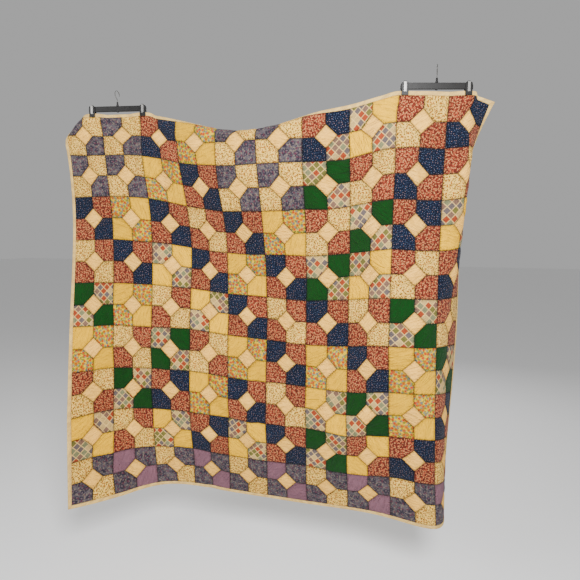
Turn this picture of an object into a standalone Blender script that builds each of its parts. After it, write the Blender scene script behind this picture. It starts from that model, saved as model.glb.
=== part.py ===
"""A patchwork quilt hung by its top edge from two clip hangers.

Metres, +Z up. The origin is on the straight line that both hooks hang from, midway between them. +X runs
along that line, and the pieced front of the quilt faces -Y.

The cloth is described in block coordinates: u counts patchwork blocks from the left edge (0 to 10), v counts
them from the top edge (0 to 9). cloth_point() turns (u, v, depth) into a place in space, and every piece of
the quilt is made from it.
"""

import math
from typing import NamedTuple

import bmesh
import bpy
import numpy as np

CM = 0.01

# Driving sizes of the quilt
BLOCK = 0.216
BLOCKS_ACROSS = 10
BLOCKS_DOWN = 9
TOP_THICK = 0.004
BACKING_THICK = 0.001
BINDING_WIDTH = 0.017
RAW_EDGE = 0.0158
BINDING_CLOTH = 0.001
GAP = 0.0003
BINDING_EASE = 0.0009
QUILT_THICK = TOP_THICK + GAP + BACKING_THICK
RIM = RAW_EDGE / BLOCK
EDGE = (RAW_EDGE + BINDING_EASE + BINDING_CLOTH) / BLOCK
HEM = BINDING_WIDTH / BLOCK - RIM

# Driving sizes of a hanger
HOOK_SIDE = 0.7745
CLIP_SPACING = 0.268
BAR_LENGTH = 0.305
BAR_HEIGHT = 0.027
BAR_THICK = 0.010
BAR_DROP = 0.086
EDGE_DROP = 0.008
TAB_WIDTH = 0.009
TAB_TALL = 0.003
CLIP_WIDTH = 0.030
JAW_TALL = 0.054
JAW_THICK = 0.004
SPRING_WIDTH = 0.011
SPRING_THICK = 0.0012
SPRING_REACH = 0.040
COLLAR_RADIUS = 0.0075
COLLAR_TALL = 0.020
HOOK_WIRE = 0.0034
HOOK_CROOK = 0.0205
LEFT_CLIPS = (0.81, 2.07)
RIGHT_CLIPS = (8.10, 9.35)


class HangLine(NamedTuple):
    """Where the cloth hangs along one line u, in centimetres: side is X, back is Y and down is Z.

    Top, yoke, chest, waist, knee and hem are 0, 1, 2.5, 4.5, 7 and 9 blocks below the top edge.
    """

    u: float
    side_top: float
    side_yoke: float
    side_waist: float
    side_knee: float
    side_hem: float
    back_top: float
    back_yoke: float
    back_chest: float
    back_waist: float
    back_knee: float
    back_hem: float
    down_top: float
    down_yoke: float
    down_waist: float
    down_knee: float
    down_hem: float


SIDE_LEVELS = (0.0, 1.0, 4.5, 7.0, 9.0)
BACK_LEVELS = (0.0, 1.0, 2.5, 4.5, 7.0, 9.0)
DOWN_LEVELS = (0.0, 1.0, 4.5, 7.0, 9.0)

# Each entry is u and the side columns, then the back columns, then the down columns.
HANG_LINES = (
    HangLine(0.0, -110, -107, -105.5, -95.5, -93,
             -1, 0, 1.5, -4, -21.5, -27,
             -9.5, -30.5, -109.5, -165.5, -208.5),
    HangLine(1.0, -87, -85, -85, -83, -78.5,
             -1, -1.5, 2, 1.5, -3.5, -11.5,
             -12.6, -31.5, -109, -165.5, -208.5),
    HangLine(2.0, -66, -63.5, -64, -63.5, -63,
             2.5, -1, 4, 5, 2.5, 6,
             -12.6, -32.5, -109.5, -165, -208.5),
    HangLine(3.0, -45, -42, -43, -42.5, -43,
             -1, -3.5, 5.5, 8, 5, 11,
             -16.5, -37, -110.5, -165.5, -208.5),
    HangLine(4.0, -21.5, -21, -22, -21, -22.5,
             -7.5, -7, 4.5, 9, 5.5, 11,
             -18.5, -39.5, -112.5, -167, -209),
    HangLine(5.0, -0.5, -0.5, -0.5, 0, -1,
             -10, -8.5, 2.5, 7.5, 4.5, 11.5,
             -18.5, -39.5, -113.5, -167.5, -209.5),
    HangLine(6.0, 20.5, 20.5, 20.5, 21, 20.5,
             -8, -6, 2, 5, 3.5, 10.5,
             -18.5, -39, -114, -167, -209),
    HangLine(7.0, 41, 41.5, 41.5, 42, 42,
             -3.5, -3, 0.5, 1, -0.5, 9,
             -16.5, -37.5, -112.5, -167, -208),
    HangLine(8.0, 61.5, 61.5, 61, 62, 63.5,
             -3, -6.5, -7, -7.5, -4, 4.5,
             -12.6, -34.5, -110, -163.5, -206.5),
    HangLine(9.0, 83, 82, 81.5, 82.5, 84.5,
             1, 0, 1.5, 0, -4, 0,
             -12.7, -34.5, -110.5, -163, -205.5),
    HangLine(9.5, 91, 92, 87.3, 87.2, 88.3,
             4, 4, 7, 9, 5.5, 8,
             -13, -33.5, -111, -165, -206.5),
    HangLine(10.0, 99.5, 94.3, 90.8, 88.7, 88,
             6, 14.5, 17.5, 19, 16, 18,
             -16, -33, -112, -168, -206.5),
)


class Fold(NamedTuple):
    """A soft ridge (or trough, with a negative height) along a line between two places on the cloth."""

    from_u: float
    from_v: float
    to_u: float
    to_v: float
    height: float
    width: float


FOLDS = (
    Fold(8.1, -0.1, 6.3, 1.1, 0.020, 0.24),
    Fold(7.9, 0.2, 6.1, 1.5, -0.016, 0.20),
    Fold(8.2, 0.1, 7.1, 1.2, 0.014, 0.20),
    Fold(2.1, -0.1, 4.3, 1.0, 0.014, 0.24),
    Fold(2.6, 6.6, 4.1, 8.1, 0.014, 0.26),
    Fold(0.3, 7.6, 1.4, 8.7, 0.012, 0.28),
)

# The top edge is turned back over itself where nothing holds it up: its top left corner, and the slack between
# the hangers
CORNER_REACH = 0.69
SLACK_REACH = 0.42
SLACK_MIDDLE = 4.75
SLACK_HALF = 2.8
TURN_RADIUS = 0.036

# Each clip holds the cloth flat this many blocks to either side of its middle and down from the top edge, and
# its hold fades out over the next ones
GRIP_ACROSS = 0.09
GRIP_DOWN = 0.03
GRIP_FADE = 0.30
JAW_MARK = 0.08


def spline(knots, values, at):
    """Natural cubic spline through values (one row for each knot), read at one place for each column."""
    k = np.asarray(knots, float)
    step = np.diff(k)
    count = len(k)
    matrix = np.eye(count)
    for i in range(1, count - 1):
        matrix[i, i - 1 : i + 2] = step[i - 1], 2 * (step[i - 1] + step[i]), step[i]
    slope = np.diff(values, axis=0) / step[:, None]
    rhs = np.zeros_like(values)
    rhs[1:-1] = 6 * np.diff(slope, axis=0)
    bend = np.linalg.solve(matrix, rhs)
    inside = np.clip(at, k[0], k[-1])
    i = np.clip(np.searchsorted(k, inside, side="right") - 1, 0, count - 2)
    col = np.arange(len(at))
    h = step[i]
    before = k[i + 1] - inside
    after = inside - k[i]
    low = values[i, col] / h - bend[i, col] * h / 6
    high = values[i + 1, col] / h - bend[i + 1, col] * h / 6
    height = (bend[i, col] * before**3 + bend[i + 1, col] * after**3) / (6 * h) + low * before + high * after
    rate = (bend[i + 1, col] * after**2 - bend[i, col] * before**2) / (2 * h) - low + high
    return height + rate * (at - inside)


def table_surface(u, v, names, levels):
    """The table's named columns as a smooth surface over (u, v), in metres."""
    lines = np.array([[getattr(line, name) for name in names] for line in HANG_LINES]) * CM
    knots = [line.u for line in HANG_LINES]
    repeated = [np.repeat(lines[:, i : i + 1], len(u), axis=1) for i in range(len(names))]
    at_levels = np.array([spline(knots, column, u) for column in repeated])
    return spline(levels, at_levels, v)


def columns(prefix):
    """The names of the table's columns that start with a prefix."""
    return [name for name in HangLine._fields if name.startswith(prefix)]


def fold_height(u, v):
    """The sum of all folds at (u, v), in metres towards the front."""
    total = np.zeros_like(u)
    for fold in FOLDS:
        along_u, along_v = fold.to_u - fold.from_u, fold.to_v - fold.from_v
        length = math.hypot(along_u, along_v)
        along = ((u - fold.from_u) * along_u + (v - fold.from_v) * along_v) / length**2
        across = ((u - fold.from_u) * along_v - (v - fold.from_v) * along_u) / length
        taper = np.sin(np.pi * np.clip(along, 0, 1)) ** 2
        total += fold.height * taper * np.exp(-((across / fold.width) ** 2))
    return total


def table_point(u, v):
    """The hanging cloth from the table and the folds alone."""
    x = table_surface(u, v, columns("side_"), SIDE_LEVELS)
    y = table_surface(u, v, columns("back_"), BACK_LEVELS)
    z = table_surface(u, v, columns("down_"), DOWN_LEVELS)
    return np.stack([x, y - fold_height(u, v), z], axis=-1)


class HangerAxes(NamedTuple):
    """A hanger's own axes: along its bar, towards the front, and up, from its middle on the hook line."""

    origin: np.ndarray
    along: np.ndarray
    front: np.ndarray

    def at(self, x, y, z):
        """The place at x along the bar, y to the front and z above the hook line."""
        return self.origin + self.along * x + self.front * y + np.array([0, 0, z])


def hanger_axes(clips):
    """The axes of the hanger whose clips grip the cloth at two places, turned to the cloth between them."""
    ends = table_point(np.array(clips), np.zeros(2))
    along = (ends[1] - ends[0]) * (1, 1, 0)
    along /= np.linalg.norm(along)
    side = math.copysign(HOOK_SIDE, ends[0][0])
    return HangerAxes(np.array([side, 0.0, 0.0]), along, np.array([along[1], -along[0], 0.0]))


def fading(past):
    """One down to nothing, smoothly, as past goes from zero to GRIP_FADE."""
    t = np.clip(past / GRIP_FADE, 0, 1)
    return 1 - t * t * (3 - 2 * t)


def held_point(u, v):
    """The cloth with its top edge drawn flat and plumb where each clip grips it."""
    point = table_point(u, v)
    for clips in (LEFT_CLIPS, RIGHT_CLIPS):
        axes = hanger_axes(clips)
        middle = axes.at(0, QUILT_THICK / 2, -BAR_DROP - BAR_HEIGHT / 2 - EDGE_DROP - RAW_EDGE)
        for clip, side in zip(clips, (-1, 1)):
            hold = (fading(np.abs(u - clip) - GRIP_ACROSS) * fading(v - GRIP_DOWN))[:, None]
            reach = side * CLIP_SPACING / 2 + (u - clip) * BLOCK
            gripped = middle + reach[:, None] * axes.along - np.stack([0 * v, 0 * v, v * BLOCK], axis=-1)
            point = point * (1 - hold) + gripped * hold
    return point


def front_normal(surface, u, v):
    """The unit normal on the front of a surface, from its slopes."""
    tiny = 1e-3
    across = surface(u + tiny, v) - surface(u - tiny, v)
    down = surface(u, v + tiny) - surface(u, v - tiny)
    normal = np.cross(down, across)
    return normal / np.linalg.norm(normal, axis=-1, keepdims=True)


def slack_line(u):
    """How far down the top edge is turned back between the hangers, and the slope of that line."""
    reach = SLACK_REACH + EDGE
    angle = np.clip((u - SLACK_MIDDLE) / SLACK_HALF, -1, 1) * math.pi / 2
    return reach * np.cos(angle) ** 2 - EDGE, -reach * np.sin(2 * angle) * math.pi / 2 / SLACK_HALF


def turned_point(u, v):
    """The cloth's front with the slack top edge and the top left corner rolled over to the back."""
    line, slope = slack_line(u)
    corner = u < CORNER_REACH + EDGE
    line = np.where(corner, CORNER_REACH - u, line)
    slope = np.where(corner, -1.0, slope)
    steep = np.sqrt(1 + slope**2)
    past = np.maximum(line - v, 0) / steep
    foot_u = u - past * slope / steep
    foot_v = v + past / steep
    arc = past * BLOCK / TURN_RADIUS
    turn = np.minimum(arc, math.pi)
    advance = (np.sin(turn) - np.maximum(arc - math.pi, 0)) * TURN_RADIUS / BLOCK
    behind = (1 - np.cos(turn)) * TURN_RADIUS
    at_u = foot_u + advance * slope / steep
    at_v = foot_v - advance / steep
    return held_point(at_u, at_v) - front_normal(held_point, at_u, at_v) * behind[:, None]


def cloth_point(u, v, depth):
    """Places on the quilt: depth is metres behind the front face, one for each place."""
    u, v, depth = (np.asarray(a, float).ravel() for a in np.broadcast_arrays(u, v, depth))
    return turned_point(u, v) - front_normal(turned_point, u, v) * depth[:, None]


def filled(marks, longest):
    """The marks, with each interval between them divided equally into steps no longer than a given one."""
    stations = [marks[0]]
    for start, end in zip(marks, marks[1:]):
        count = max(1, math.ceil((end - start) / longest - 1e-6))
        stations += [start + (end - start) * (i + 1) / count for i in range(count)]
    return stations


def across_stations():
    """The u stations of the cloth: both sides of each jaw, and close together at the side edges."""
    jaws = [clip + side for clip in LEFT_CLIPS + RIGHT_CLIPS for side in (-JAW_MARK, JAW_MARK)]
    left = filled([HEM, jaws[0]], 0.1)
    middle = filled(jaws, 0.36)
    right = filled([jaws[-1], BLOCKS_ACROSS - HEM], 0.12)
    return [-RIM] + left[:-1] + middle + right[1:] + [BLOCKS_ACROSS + RIM]


def down_stations():
    """The v stations of the cloth: close together where the top edge turns back."""
    turned = filled([HEM, 0.8], 0.1)
    skirt = filled([0.8, 1.0, BLOCKS_DOWN - HEM], 0.7)
    return [-RIM] + turned[:-1] + skirt + [BLOCKS_DOWN + RIM]


def material(name, colour, roughness, metallic=0.0):
    """A Principled material."""
    made = bpy.data.materials.new(name)
    made.use_nodes = True
    shader = made.node_tree.nodes["Principled BSDF"]
    shader.inputs["Base Color"].default_value = (*colour, 1)
    shader.inputs["Roughness"].default_value = roughness
    shader.inputs["Metallic"].default_value = metallic
    return made


def mesh_object(name, points, faces, finish):
    """An object from points and faces, in world space, shaded smooth across its gentle edges."""
    mesh = bpy.data.meshes.new(name)
    mesh.from_pydata([tuple(p) for p in points], [], faces)
    shell = bmesh.new()
    shell.from_mesh(mesh)
    bmesh.ops.recalc_face_normals(shell, faces=shell.faces)
    shell.to_mesh(mesh)
    shell.free()
    mesh.shade_smooth()
    mesh.set_sharp_from_angle(angle=math.radians(35))
    mesh.materials.append(finish)
    made = bpy.data.objects.new(name, mesh)
    bpy.context.scene.collection.objects.link(made)
    return made


def quad(a, b, c, d):
    """Two triangles that always share the corner a-c, so that parallel sheets fold along the same lines."""
    return [(a, b, c), (a, c, d)]


def add_sheet(name, near, far, finish):
    """A sheet of the quilt between two depths behind its front face."""
    us, vs = across_stations(), down_stations()
    grid_v, grid_u = np.meshgrid(vs, us, indexing="ij")
    points = np.concatenate([cloth_point(grid_u, grid_v, near), cloth_point(grid_u, grid_v, far)])
    rows, cols = grid_u.shape
    back = rows * cols
    faces = []
    for r in range(rows - 1):
        for c in range(cols - 1):
            a = r * cols + c
            corners = (a + cols, a + cols + 1, a + 1, a)
            faces += quad(*corners)
            faces += [tuple(back + i for i in reversed(f)) for f in quad(*corners)]
    rim = [c for c in range(cols)]
    rim += [r * cols + cols - 1 for r in range(1, rows)]
    rim += [(rows - 1) * cols + c for c in range(cols - 2, -1, -1)]
    rim += [r * cols for r in range(rows - 2, 0, -1)]
    for i, start in enumerate(rim):
        end = rim[(i + 1) % len(rim)]
        faces += quad(start, end, back + end, back + start)
    return mesh_object(name, points, faces, finish)


def binding_section():
    """The folded strip's outline: (metres in from the raw edge, metres behind the front face)."""
    inner, outer = BINDING_EASE, BINDING_EASE + BINDING_CLOTH
    return (
        (BINDING_WIDTH, -outer),
        (-outer, -outer),
        (-outer, QUILT_THICK + outer),
        (BINDING_WIDTH, QUILT_THICK + outer),
        (BINDING_WIDTH, QUILT_THICK + inner),
        (-inner, QUILT_THICK + inner),
        (-inner, -inner),
        (BINDING_WIDTH, -inner),
    )


def add_binding(name, edge, finish):
    """A folded strip along one edge, with its ends cut on the mitre."""
    along_u = edge in ("top", "bottom")
    stations = across_stations() if along_u else down_stations()
    last = BLOCKS_ACROSS if along_u else BLOCKS_DOWN
    raw = {"top": -RIM, "left": -RIM, "bottom": BLOCKS_DOWN + RIM, "right": BLOCKS_ACROSS + RIM}[edge]
    inward = 1 if edge in ("top", "left") else -1
    section = binding_section()
    mitre_gap = GAP * 0.75 / BLOCK
    run, across, depth = [], [], []
    for i, station in enumerate(stations):
        for into, behind in section:
            near, far = into / BLOCK - RIM + mitre_gap, last + RIM - into / BLOCK - mitre_gap
            if 0 < i < len(stations) - 1:
                near, far = max(station, near + 2 * mitre_gap), min(station, far - 2 * mitre_gap)
            run.append(near if station < last / 2 else far)
            across.append(raw + inward * into / BLOCK)
            depth.append(behind)
    run, across = np.array(run), np.array(across)
    points = cloth_point(*((run, across) if along_u else (across, run)), np.array(depth))
    n = len(section)
    faces = []
    for i in range(len(stations) - 1):
        for j in range(n):
            k = (j + 1) % n
            a, b = i * n + j, i * n + k
            rising = (section[k][0] > section[j][0]) == (inward > 0)
            if section[k][0] == section[j][0]:
                rising = (edge in ("top", "right")) == (j > 1)
            faces += quad(b, b + n, a + n, a) if rising else quad(a, b, b + n, a + n)
    top = (len(stations) - 1) * n
    halves = [(0, 1, 6, 7), (1, 2, 5, 6), (2, 3, 4, 5)]
    faces += [tuple(start + i for i in half) for start in (0, top) for half in halves]
    return mesh_object(name, points, faces, finish)


def extruded(name, outline, place, finish, bevel):
    """A solid from an outline's two ends, given as two equal lists of places, with softened edges."""
    near, far = outline
    count = len(near)
    faces = [tuple(range(count)), tuple(range(2 * count - 1, count - 1, -1))]
    for i in range(count):
        j = (i + 1) % count
        faces.append((j, i, count + i, count + j))
    made = mesh_object(name, [place(*p) for p in [*near, *far]], faces, finish)
    soften = made.modifiers.new("soft edges", "BEVEL")
    soften.width = bevel
    soften.segments = 2
    soften.limit_method = "ANGLE"
    soften.angle_limit = math.radians(50)
    return made


def round_ended(half_long, low, high, steps=6):
    """A level bar's outline with its upper corners rounded off, as (x, z) pairs, clockwise from the front."""
    radius = min(half_long, high - low) * 0.45
    right = [
        (half_long - radius + radius * math.sin(a), high - radius + radius * math.cos(a))
        for a in (math.pi / 2 * i / steps for i in range(steps + 1))
    ]
    left = [(-x, z) for x, z in reversed(right)]
    return [*left, *right, (half_long, low), (-half_long, low)]


def bar_outline(low, high):
    """The bar's outline, with a small tab under its middle."""
    outline = round_ended(BAR_LENGTH / 2, low, high)
    half, foot = TAB_WIDTH / 2, low - TAB_TALL
    tab = [(half, low), (half, foot), (-half, foot), (-half, low)]
    return outline[:-1] + tab + outline[-1:]


def add_plate(name, outline, front, back, place, finish, bevel, shift=0.0):
    """A flat plate from an (x, z) outline between two distances to the front of the bar's middle."""
    near = [(x + shift, front, z) for x, z in outline]
    far = [(x + shift, back, z) for x, z in outline]
    return extruded(name, (near, far), place, finish, bevel)


def add_spring(name, shift, place, finish):
    """The bent steel strip that squeezes the jaws: down the front jaw, over the top and down the back jaw."""
    jaw = BAR_THICK / 2 + GAP + JAW_THICK
    inner, outer = jaw + GAP, jaw + GAP + SPRING_THICK
    peak = -BAR_DROP + BAR_HEIGHT / 2 + 0.003
    foot = peak - SPRING_REACH
    outline = [(outer, foot), (outer, peak), (outer - 0.004, peak + 0.004), (0.004 - outer, peak + 0.004)]
    outline += [(-outer, peak), (-outer, foot), (-inner, foot), (-inner, peak - 0.0005)]
    outline += [(0.0045 - inner, peak + 0.0026), (inner - 0.0045, peak + 0.0026), (inner, peak - 0.0005), (inner, foot)]
    near = [(shift - SPRING_WIDTH / 2, y, z) for y, z in outline]
    far = [(shift + SPRING_WIDTH / 2, y, z) for y, z in outline]
    return extruded(name, (near, far), place, finish, 0.0002)


def add_hook(name, place, finish):
    """The steel wire hook: a stem up from the collar, and a crook that opens to the back and bears at z = 0."""
    foot = -BAR_DROP + BAR_HEIGHT / 2 + COLLAR_TALL + GAP
    radius = HOOK_CROOK - HOOK_WIRE / 2
    centre_z = -HOOK_CROOK + HOOK_WIRE
    bend_start = math.radians(-50)
    route = [(0.0, 0.0, foot), (0.0, 0.0, foot + 0.010)]
    for i in range(25):
        angle = bend_start + (math.radians(188) - bend_start) * i / 24
        route.append((0.0, radius * math.cos(angle), centre_z + radius * math.sin(angle)))
    curve = bpy.data.curves.new(name, "CURVE")
    curve.dimensions = "3D"
    curve.bevel_depth = HOOK_WIRE / 2
    curve.bevel_resolution = 2
    curve.use_fill_caps = True
    wire = curve.splines.new("POLY")
    wire.points.add(len(route) - 1)
    for point, (x, y, z) in zip(wire.points, route):
        point.co = (*place(x, y, z), 1)
    curve.materials.append(finish)
    made = bpy.data.objects.new(name, curve)
    bpy.context.scene.collection.objects.link(made)
    return made


def add_collar(name, place, finish, sides=20):
    """The round boss that the hook turns in, standing on the bar, wider at its foot."""
    foot = -BAR_DROP + BAR_HEIGHT / 2 + GAP
    profile = [(1.3, 0.0), (1.3, 0.25), (1.0, 0.35), (1.0, 0.85), (0.8, 1.0)]
    points, faces = [], []
    for wide, rise in profile:
        for i in range(sides):
            angle = 2 * math.pi * i / sides
            radius = COLLAR_RADIUS * wide * 0.6
            height = foot + rise * (COLLAR_TALL - GAP)
            points.append(place(radius * math.cos(angle), radius * math.sin(angle), height))
    for ring in range(len(profile) - 1):
        for i in range(sides):
            a, b = ring * sides + i, ring * sides + (i + 1) % sides
            faces.append((a, a + sides, b + sides, b))
    faces.append(tuple(range(sides)))
    faces.append(tuple(range(len(points) - 1, len(points) - 1 - sides, -1)))
    return mesh_object(name, points, faces, finish)


def add_hanger(side, clips, plastic, steel):
    """One clip hanger: bar, collar, hook, and a clip of two jaws and a spring at each end."""
    axes = hanger_axes(clips)
    place = axes.at
    rail_place = axes._replace(along=np.array([1.0, 0.0, 0.0]), front=np.array([0.0, -1.0, 0.0])).at
    low, high = -BAR_DROP - BAR_HEIGHT / 2, -BAR_DROP + BAR_HEIGHT / 2
    outline = bar_outline(low, high)
    add_plate(f"{side}_hanger_bar", outline, BAR_THICK / 2, -BAR_THICK / 2, place, plastic, 0.0015)
    add_collar(f"{side}_hanger_collar", place, plastic)
    add_hook(f"{side}_hanger_hook", rail_place, steel)
    jaw = round_ended(CLIP_WIDTH / 2, high + 0.002 - JAW_TALL, high + 0.002)
    for letter, end in (("a", -1), ("b", 1)):
        shift = end * CLIP_SPACING / 2
        inner, outer = BAR_THICK / 2 + GAP, BAR_THICK / 2 + GAP + JAW_THICK
        add_plate(f"{side}_clip_{letter}_front", jaw, outer, inner, place, plastic, 0.001, shift)
        add_plate(f"{side}_clip_{letter}_back", jaw, -inner, -outer, place, plastic, 0.001, shift)
        add_spring(f"{side}_clip_{letter}_spring", shift, place, steel)


def main():
    """Builds the quilt and its hangers."""
    for old in list(bpy.data.objects):
        bpy.data.objects.remove(old, do_unlink=True)
    pieced = material("pieced cotton", (0.55, 0.38, 0.27), 0.9)
    plain = material("plain cotton", (0.66, 0.56, 0.42), 0.9)
    tan = material("tan binding", (0.60, 0.44, 0.26), 0.9)
    plastic = material("black plastic", (0.012, 0.011, 0.011), 0.35)
    steel = material("bright steel", (0.62, 0.62, 0.62), 0.25, 1.0)
    add_sheet("quilt_top", 0.0, TOP_THICK, pieced)
    add_sheet("quilt_backing", TOP_THICK + GAP, TOP_THICK + GAP + BACKING_THICK, plain)
    for edge in ("top", "bottom", "left", "right"):
        add_binding(f"binding_{edge}", edge, tan)
    add_hanger("left", LEFT_CLIPS, plastic, steel)
    add_hanger("right", RIGHT_CLIPS, plastic, steel)


if __name__ == "__main__":
    main()
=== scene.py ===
"""A bow-tie patchwork quilt hung by its top edge from two clip hangers, finished for close viewing.

The quilt is pieced patch by patch from eleven cottons, over a shared description of how the cloth hangs.
Places on the cloth are given in block coordinates: u counts blocks from the left edge (0 to 10), v counts
them from the top edge (0 to 9), and depth is metres behind the front face.
"""

import logging
import math
from dataclasses import dataclass, field
from enum import Enum
from typing import Callable, NamedTuple, Sequence, Union

import bpy
import numpy as np
from mathutils import Matrix


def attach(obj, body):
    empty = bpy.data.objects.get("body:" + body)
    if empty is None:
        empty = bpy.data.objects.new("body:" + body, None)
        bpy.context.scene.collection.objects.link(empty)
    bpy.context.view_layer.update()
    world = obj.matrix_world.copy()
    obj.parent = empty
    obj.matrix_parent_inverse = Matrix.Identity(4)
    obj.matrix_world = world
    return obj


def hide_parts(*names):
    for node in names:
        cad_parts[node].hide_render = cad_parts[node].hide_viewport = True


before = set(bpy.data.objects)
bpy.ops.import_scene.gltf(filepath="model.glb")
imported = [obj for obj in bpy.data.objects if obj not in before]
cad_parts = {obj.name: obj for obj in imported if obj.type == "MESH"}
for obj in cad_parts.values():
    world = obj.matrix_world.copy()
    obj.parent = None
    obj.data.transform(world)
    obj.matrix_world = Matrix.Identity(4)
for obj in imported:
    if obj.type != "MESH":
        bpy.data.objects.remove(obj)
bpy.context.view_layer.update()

logging.basicConfig(level=logging.INFO, format="%(levelname)s %(name)s: %(message)s")
log = logging.getLogger("quilt")

Colour = tuple[float, float, float]
Socket = bpy.types.NodeSocket
Given = Union[Socket, float, Sequence[float]]

MM = 0.001
CM = 0.01
MM_A_METRE = 1000.0
HALF_ROOT = 0.7071

BLOCK = 0.216
BLOCKS_ACROSS = 10
BLOCKS_DOWN = 9
CELL = BLOCK / 2
TOP_THICK = 0.004
BACKING_THICK = 0.001
BINDING_WIDTH = 0.017
RAW_EDGE = 0.0158
BINDING_CLOTH = 0.001
BINDING_EASE = 0.0009
GAP = 0.0003
QUILT_THICK = TOP_THICK + GAP + BACKING_THICK
RIM = RAW_EDGE / BLOCK

HOOK_SIDE = 0.7745
CLIP_SPACING = 0.268
BAR_HEIGHT = 0.027
BAR_DROP = 0.086
EDGE_DROP = 0.008
LEFT_CLIPS = (0.81, 2.07)
RIGHT_CLIPS = (8.10, 9.35)

DYE_RICHNESS = 1.4
DARKEST = 0.001


def srgb(red: int, green: int, blue: int, richness: float = 1.0) -> Colour:
    """A screen colour as linear light.

    Args:
        red: 0 to 255.
        green: 0 to 255.
        blue: 0 to 255.
        richness: How far the dye is taken from its grey, as cloth is richer than a screen shows it.

    Returns:
        The three linear values.
    """
    plain = [((c / 255 + 0.055) / 1.055) ** 2.4 if c > 10 else c / 255 / 12.92 for c in (red, green, blue)]
    grey = 0.2126 * plain[0] + 0.7152 * plain[1] + 0.0722 * plain[2]
    return tuple(max(grey + (c - grey) * richness, DARKEST) for c in plain)


def dye(red: int, green: int, blue: int) -> Colour:
    """A cloth or print colour as linear light, from a screen colour of 0 to 255."""
    return srgb(red, green, blue, DYE_RICHNESS)


class HangLine(NamedTuple):
    """Where the cloth hangs along one line u, in centimetres: side is X, back is Y and down is Z.

    Top, yoke, chest, waist, knee and hem are 0, 1, 2.5, 4.5, 7 and 9 blocks below the top edge.
    """

    u: float
    side_top: float
    side_yoke: float
    side_waist: float
    side_knee: float
    side_hem: float
    back_top: float
    back_yoke: float
    back_chest: float
    back_waist: float
    back_knee: float
    back_hem: float
    down_top: float
    down_yoke: float
    down_waist: float
    down_knee: float
    down_hem: float


SIDE_LEVELS = (0.0, 1.0, 4.5, 7.0, 9.0)
BACK_LEVELS = (0.0, 1.0, 2.5, 4.5, 7.0, 9.0)
DOWN_LEVELS = (0.0, 1.0, 4.5, 7.0, 9.0)

# A row is u with its sides (top, yoke, waist, knee, hem), then its backs (with the chest), then its downs.
HANG_LINES = (
    HangLine(0.0, -110, -107, -105.5, -95.5, -93,
             -1, 0, 1.5, -4, -21.5, -27,
             -9.5, -30.5, -109.5, -165.5, -208.5),
    HangLine(1.0, -87, -85, -85, -83, -78.5,
             -1, -1.5, 2, 1.5, -3.5, -11.5,
             -12.6, -31.5, -109, -165.5, -208.5),
    HangLine(2.0, -66, -63.5, -64, -63.5, -63,
             2.5, -1, 4, 5, 2.5, 6,
             -12.6, -32.5, -109.5, -165, -208.5),
    HangLine(3.0, -45, -42, -43, -42.5, -43,
             -1, -3.5, 5.5, 8, 5, 11,
             -16.5, -37, -110.5, -165.5, -208.5),
    HangLine(4.0, -21.5, -21, -22, -21, -22.5,
             -7.5, -7, 4.5, 9, 5.5, 11,
             -18.5, -39.5, -112.5, -167, -209),
    HangLine(5.0, -0.5, -0.5, -0.5, 0, -1,
             -10, -8.5, 2.5, 7.5, 4.5, 11.5,
             -18.5, -39.5, -113.5, -167.5, -209.5),
    HangLine(6.0, 20.5, 20.5, 20.5, 21, 20.5,
             -8, -6, 2, 5, 3.5, 10.5,
             -18.5, -39, -114, -167, -209),
    HangLine(7.0, 41, 41.5, 41.5, 42, 42,
             -3.5, -3, 0.5, 1, -0.5, 9,
             -16.5, -37.5, -112.5, -167, -208),
    HangLine(8.0, 61.5, 61.5, 61, 62, 63.5,
             -3, -6.5, -7, -7.5, -4, 4.5,
             -12.6, -34.5, -110, -163.5, -206.5),
    HangLine(9.0, 83, 82, 81.5, 82.5, 84.5,
             1, 0, 1.5, 0, -4, 0,
             -12.7, -34.5, -110.5, -163, -205.5),
    HangLine(9.5, 91, 92, 87.3, 87.2, 88.3,
             4, 4, 7, 9, 5.5, 8,
             -13, -33.5, -111, -165, -206.5),
    HangLine(10.0, 99.5, 94.3, 90.8, 88.7, 88,
             6, 14.5, 17.5, 19, 16, 18,
             -16, -33, -112, -168, -206.5),
)


class Fold(NamedTuple):
    """A soft ridge (or trough, with a negative height) along a line between two places on the cloth."""

    from_u: float
    from_v: float
    to_u: float
    to_v: float
    height: float
    width: float


FOLDS = (
    Fold(8.1, -0.1, 6.3, 1.1, 0.020, 0.24),
    Fold(7.9, 0.2, 6.1, 1.5, -0.016, 0.20),
    Fold(8.2, 0.1, 7.1, 1.2, 0.014, 0.20),
    Fold(2.1, -0.1, 4.3, 1.0, 0.014, 0.24),
    Fold(2.6, 6.6, 4.1, 8.1, 0.014, 0.26),
    Fold(0.3, 7.6, 1.4, 8.7, 0.012, 0.28),
)


class DrapeLines(NamedTuple):
    """A fan of small ridges that run down the cloth from where it is held."""

    u: float
    v: float
    count: int
    first_degrees: float
    last_degrees: float
    length: float
    height: float
    width: float


# Degrees are from straight down, positive to the right.
DRAPE_LINES = (
    DrapeLines(0.81, 0.05, 3, -35, 20, 1.5, 0.0065, 0.085),
    DrapeLines(2.07, 0.05, 5, -30, 62, 2.1, 0.0080, 0.095),
    DrapeLines(8.10, 0.05, 6, -64, 15, 2.4, 0.0095, 0.100),
    DrapeLines(9.35, 0.05, 4, -28, 12, 1.9, 0.0060, 0.085),
)
FAN_START = 0.12
FAN_LENGTHS = (0.7, 1.15)
WANDERING_FOLDS = 46
WANDER_ACROSS = (0.5, 9.2)
WANDER_DOWN = (1.4, 8.0)
WANDER_LENGTHS = (0.9, 2.2)
WANDER_HEIGHTS = (0.005, 0.010)
WANDER_WIDTHS = (0.09, 0.17)


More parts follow.
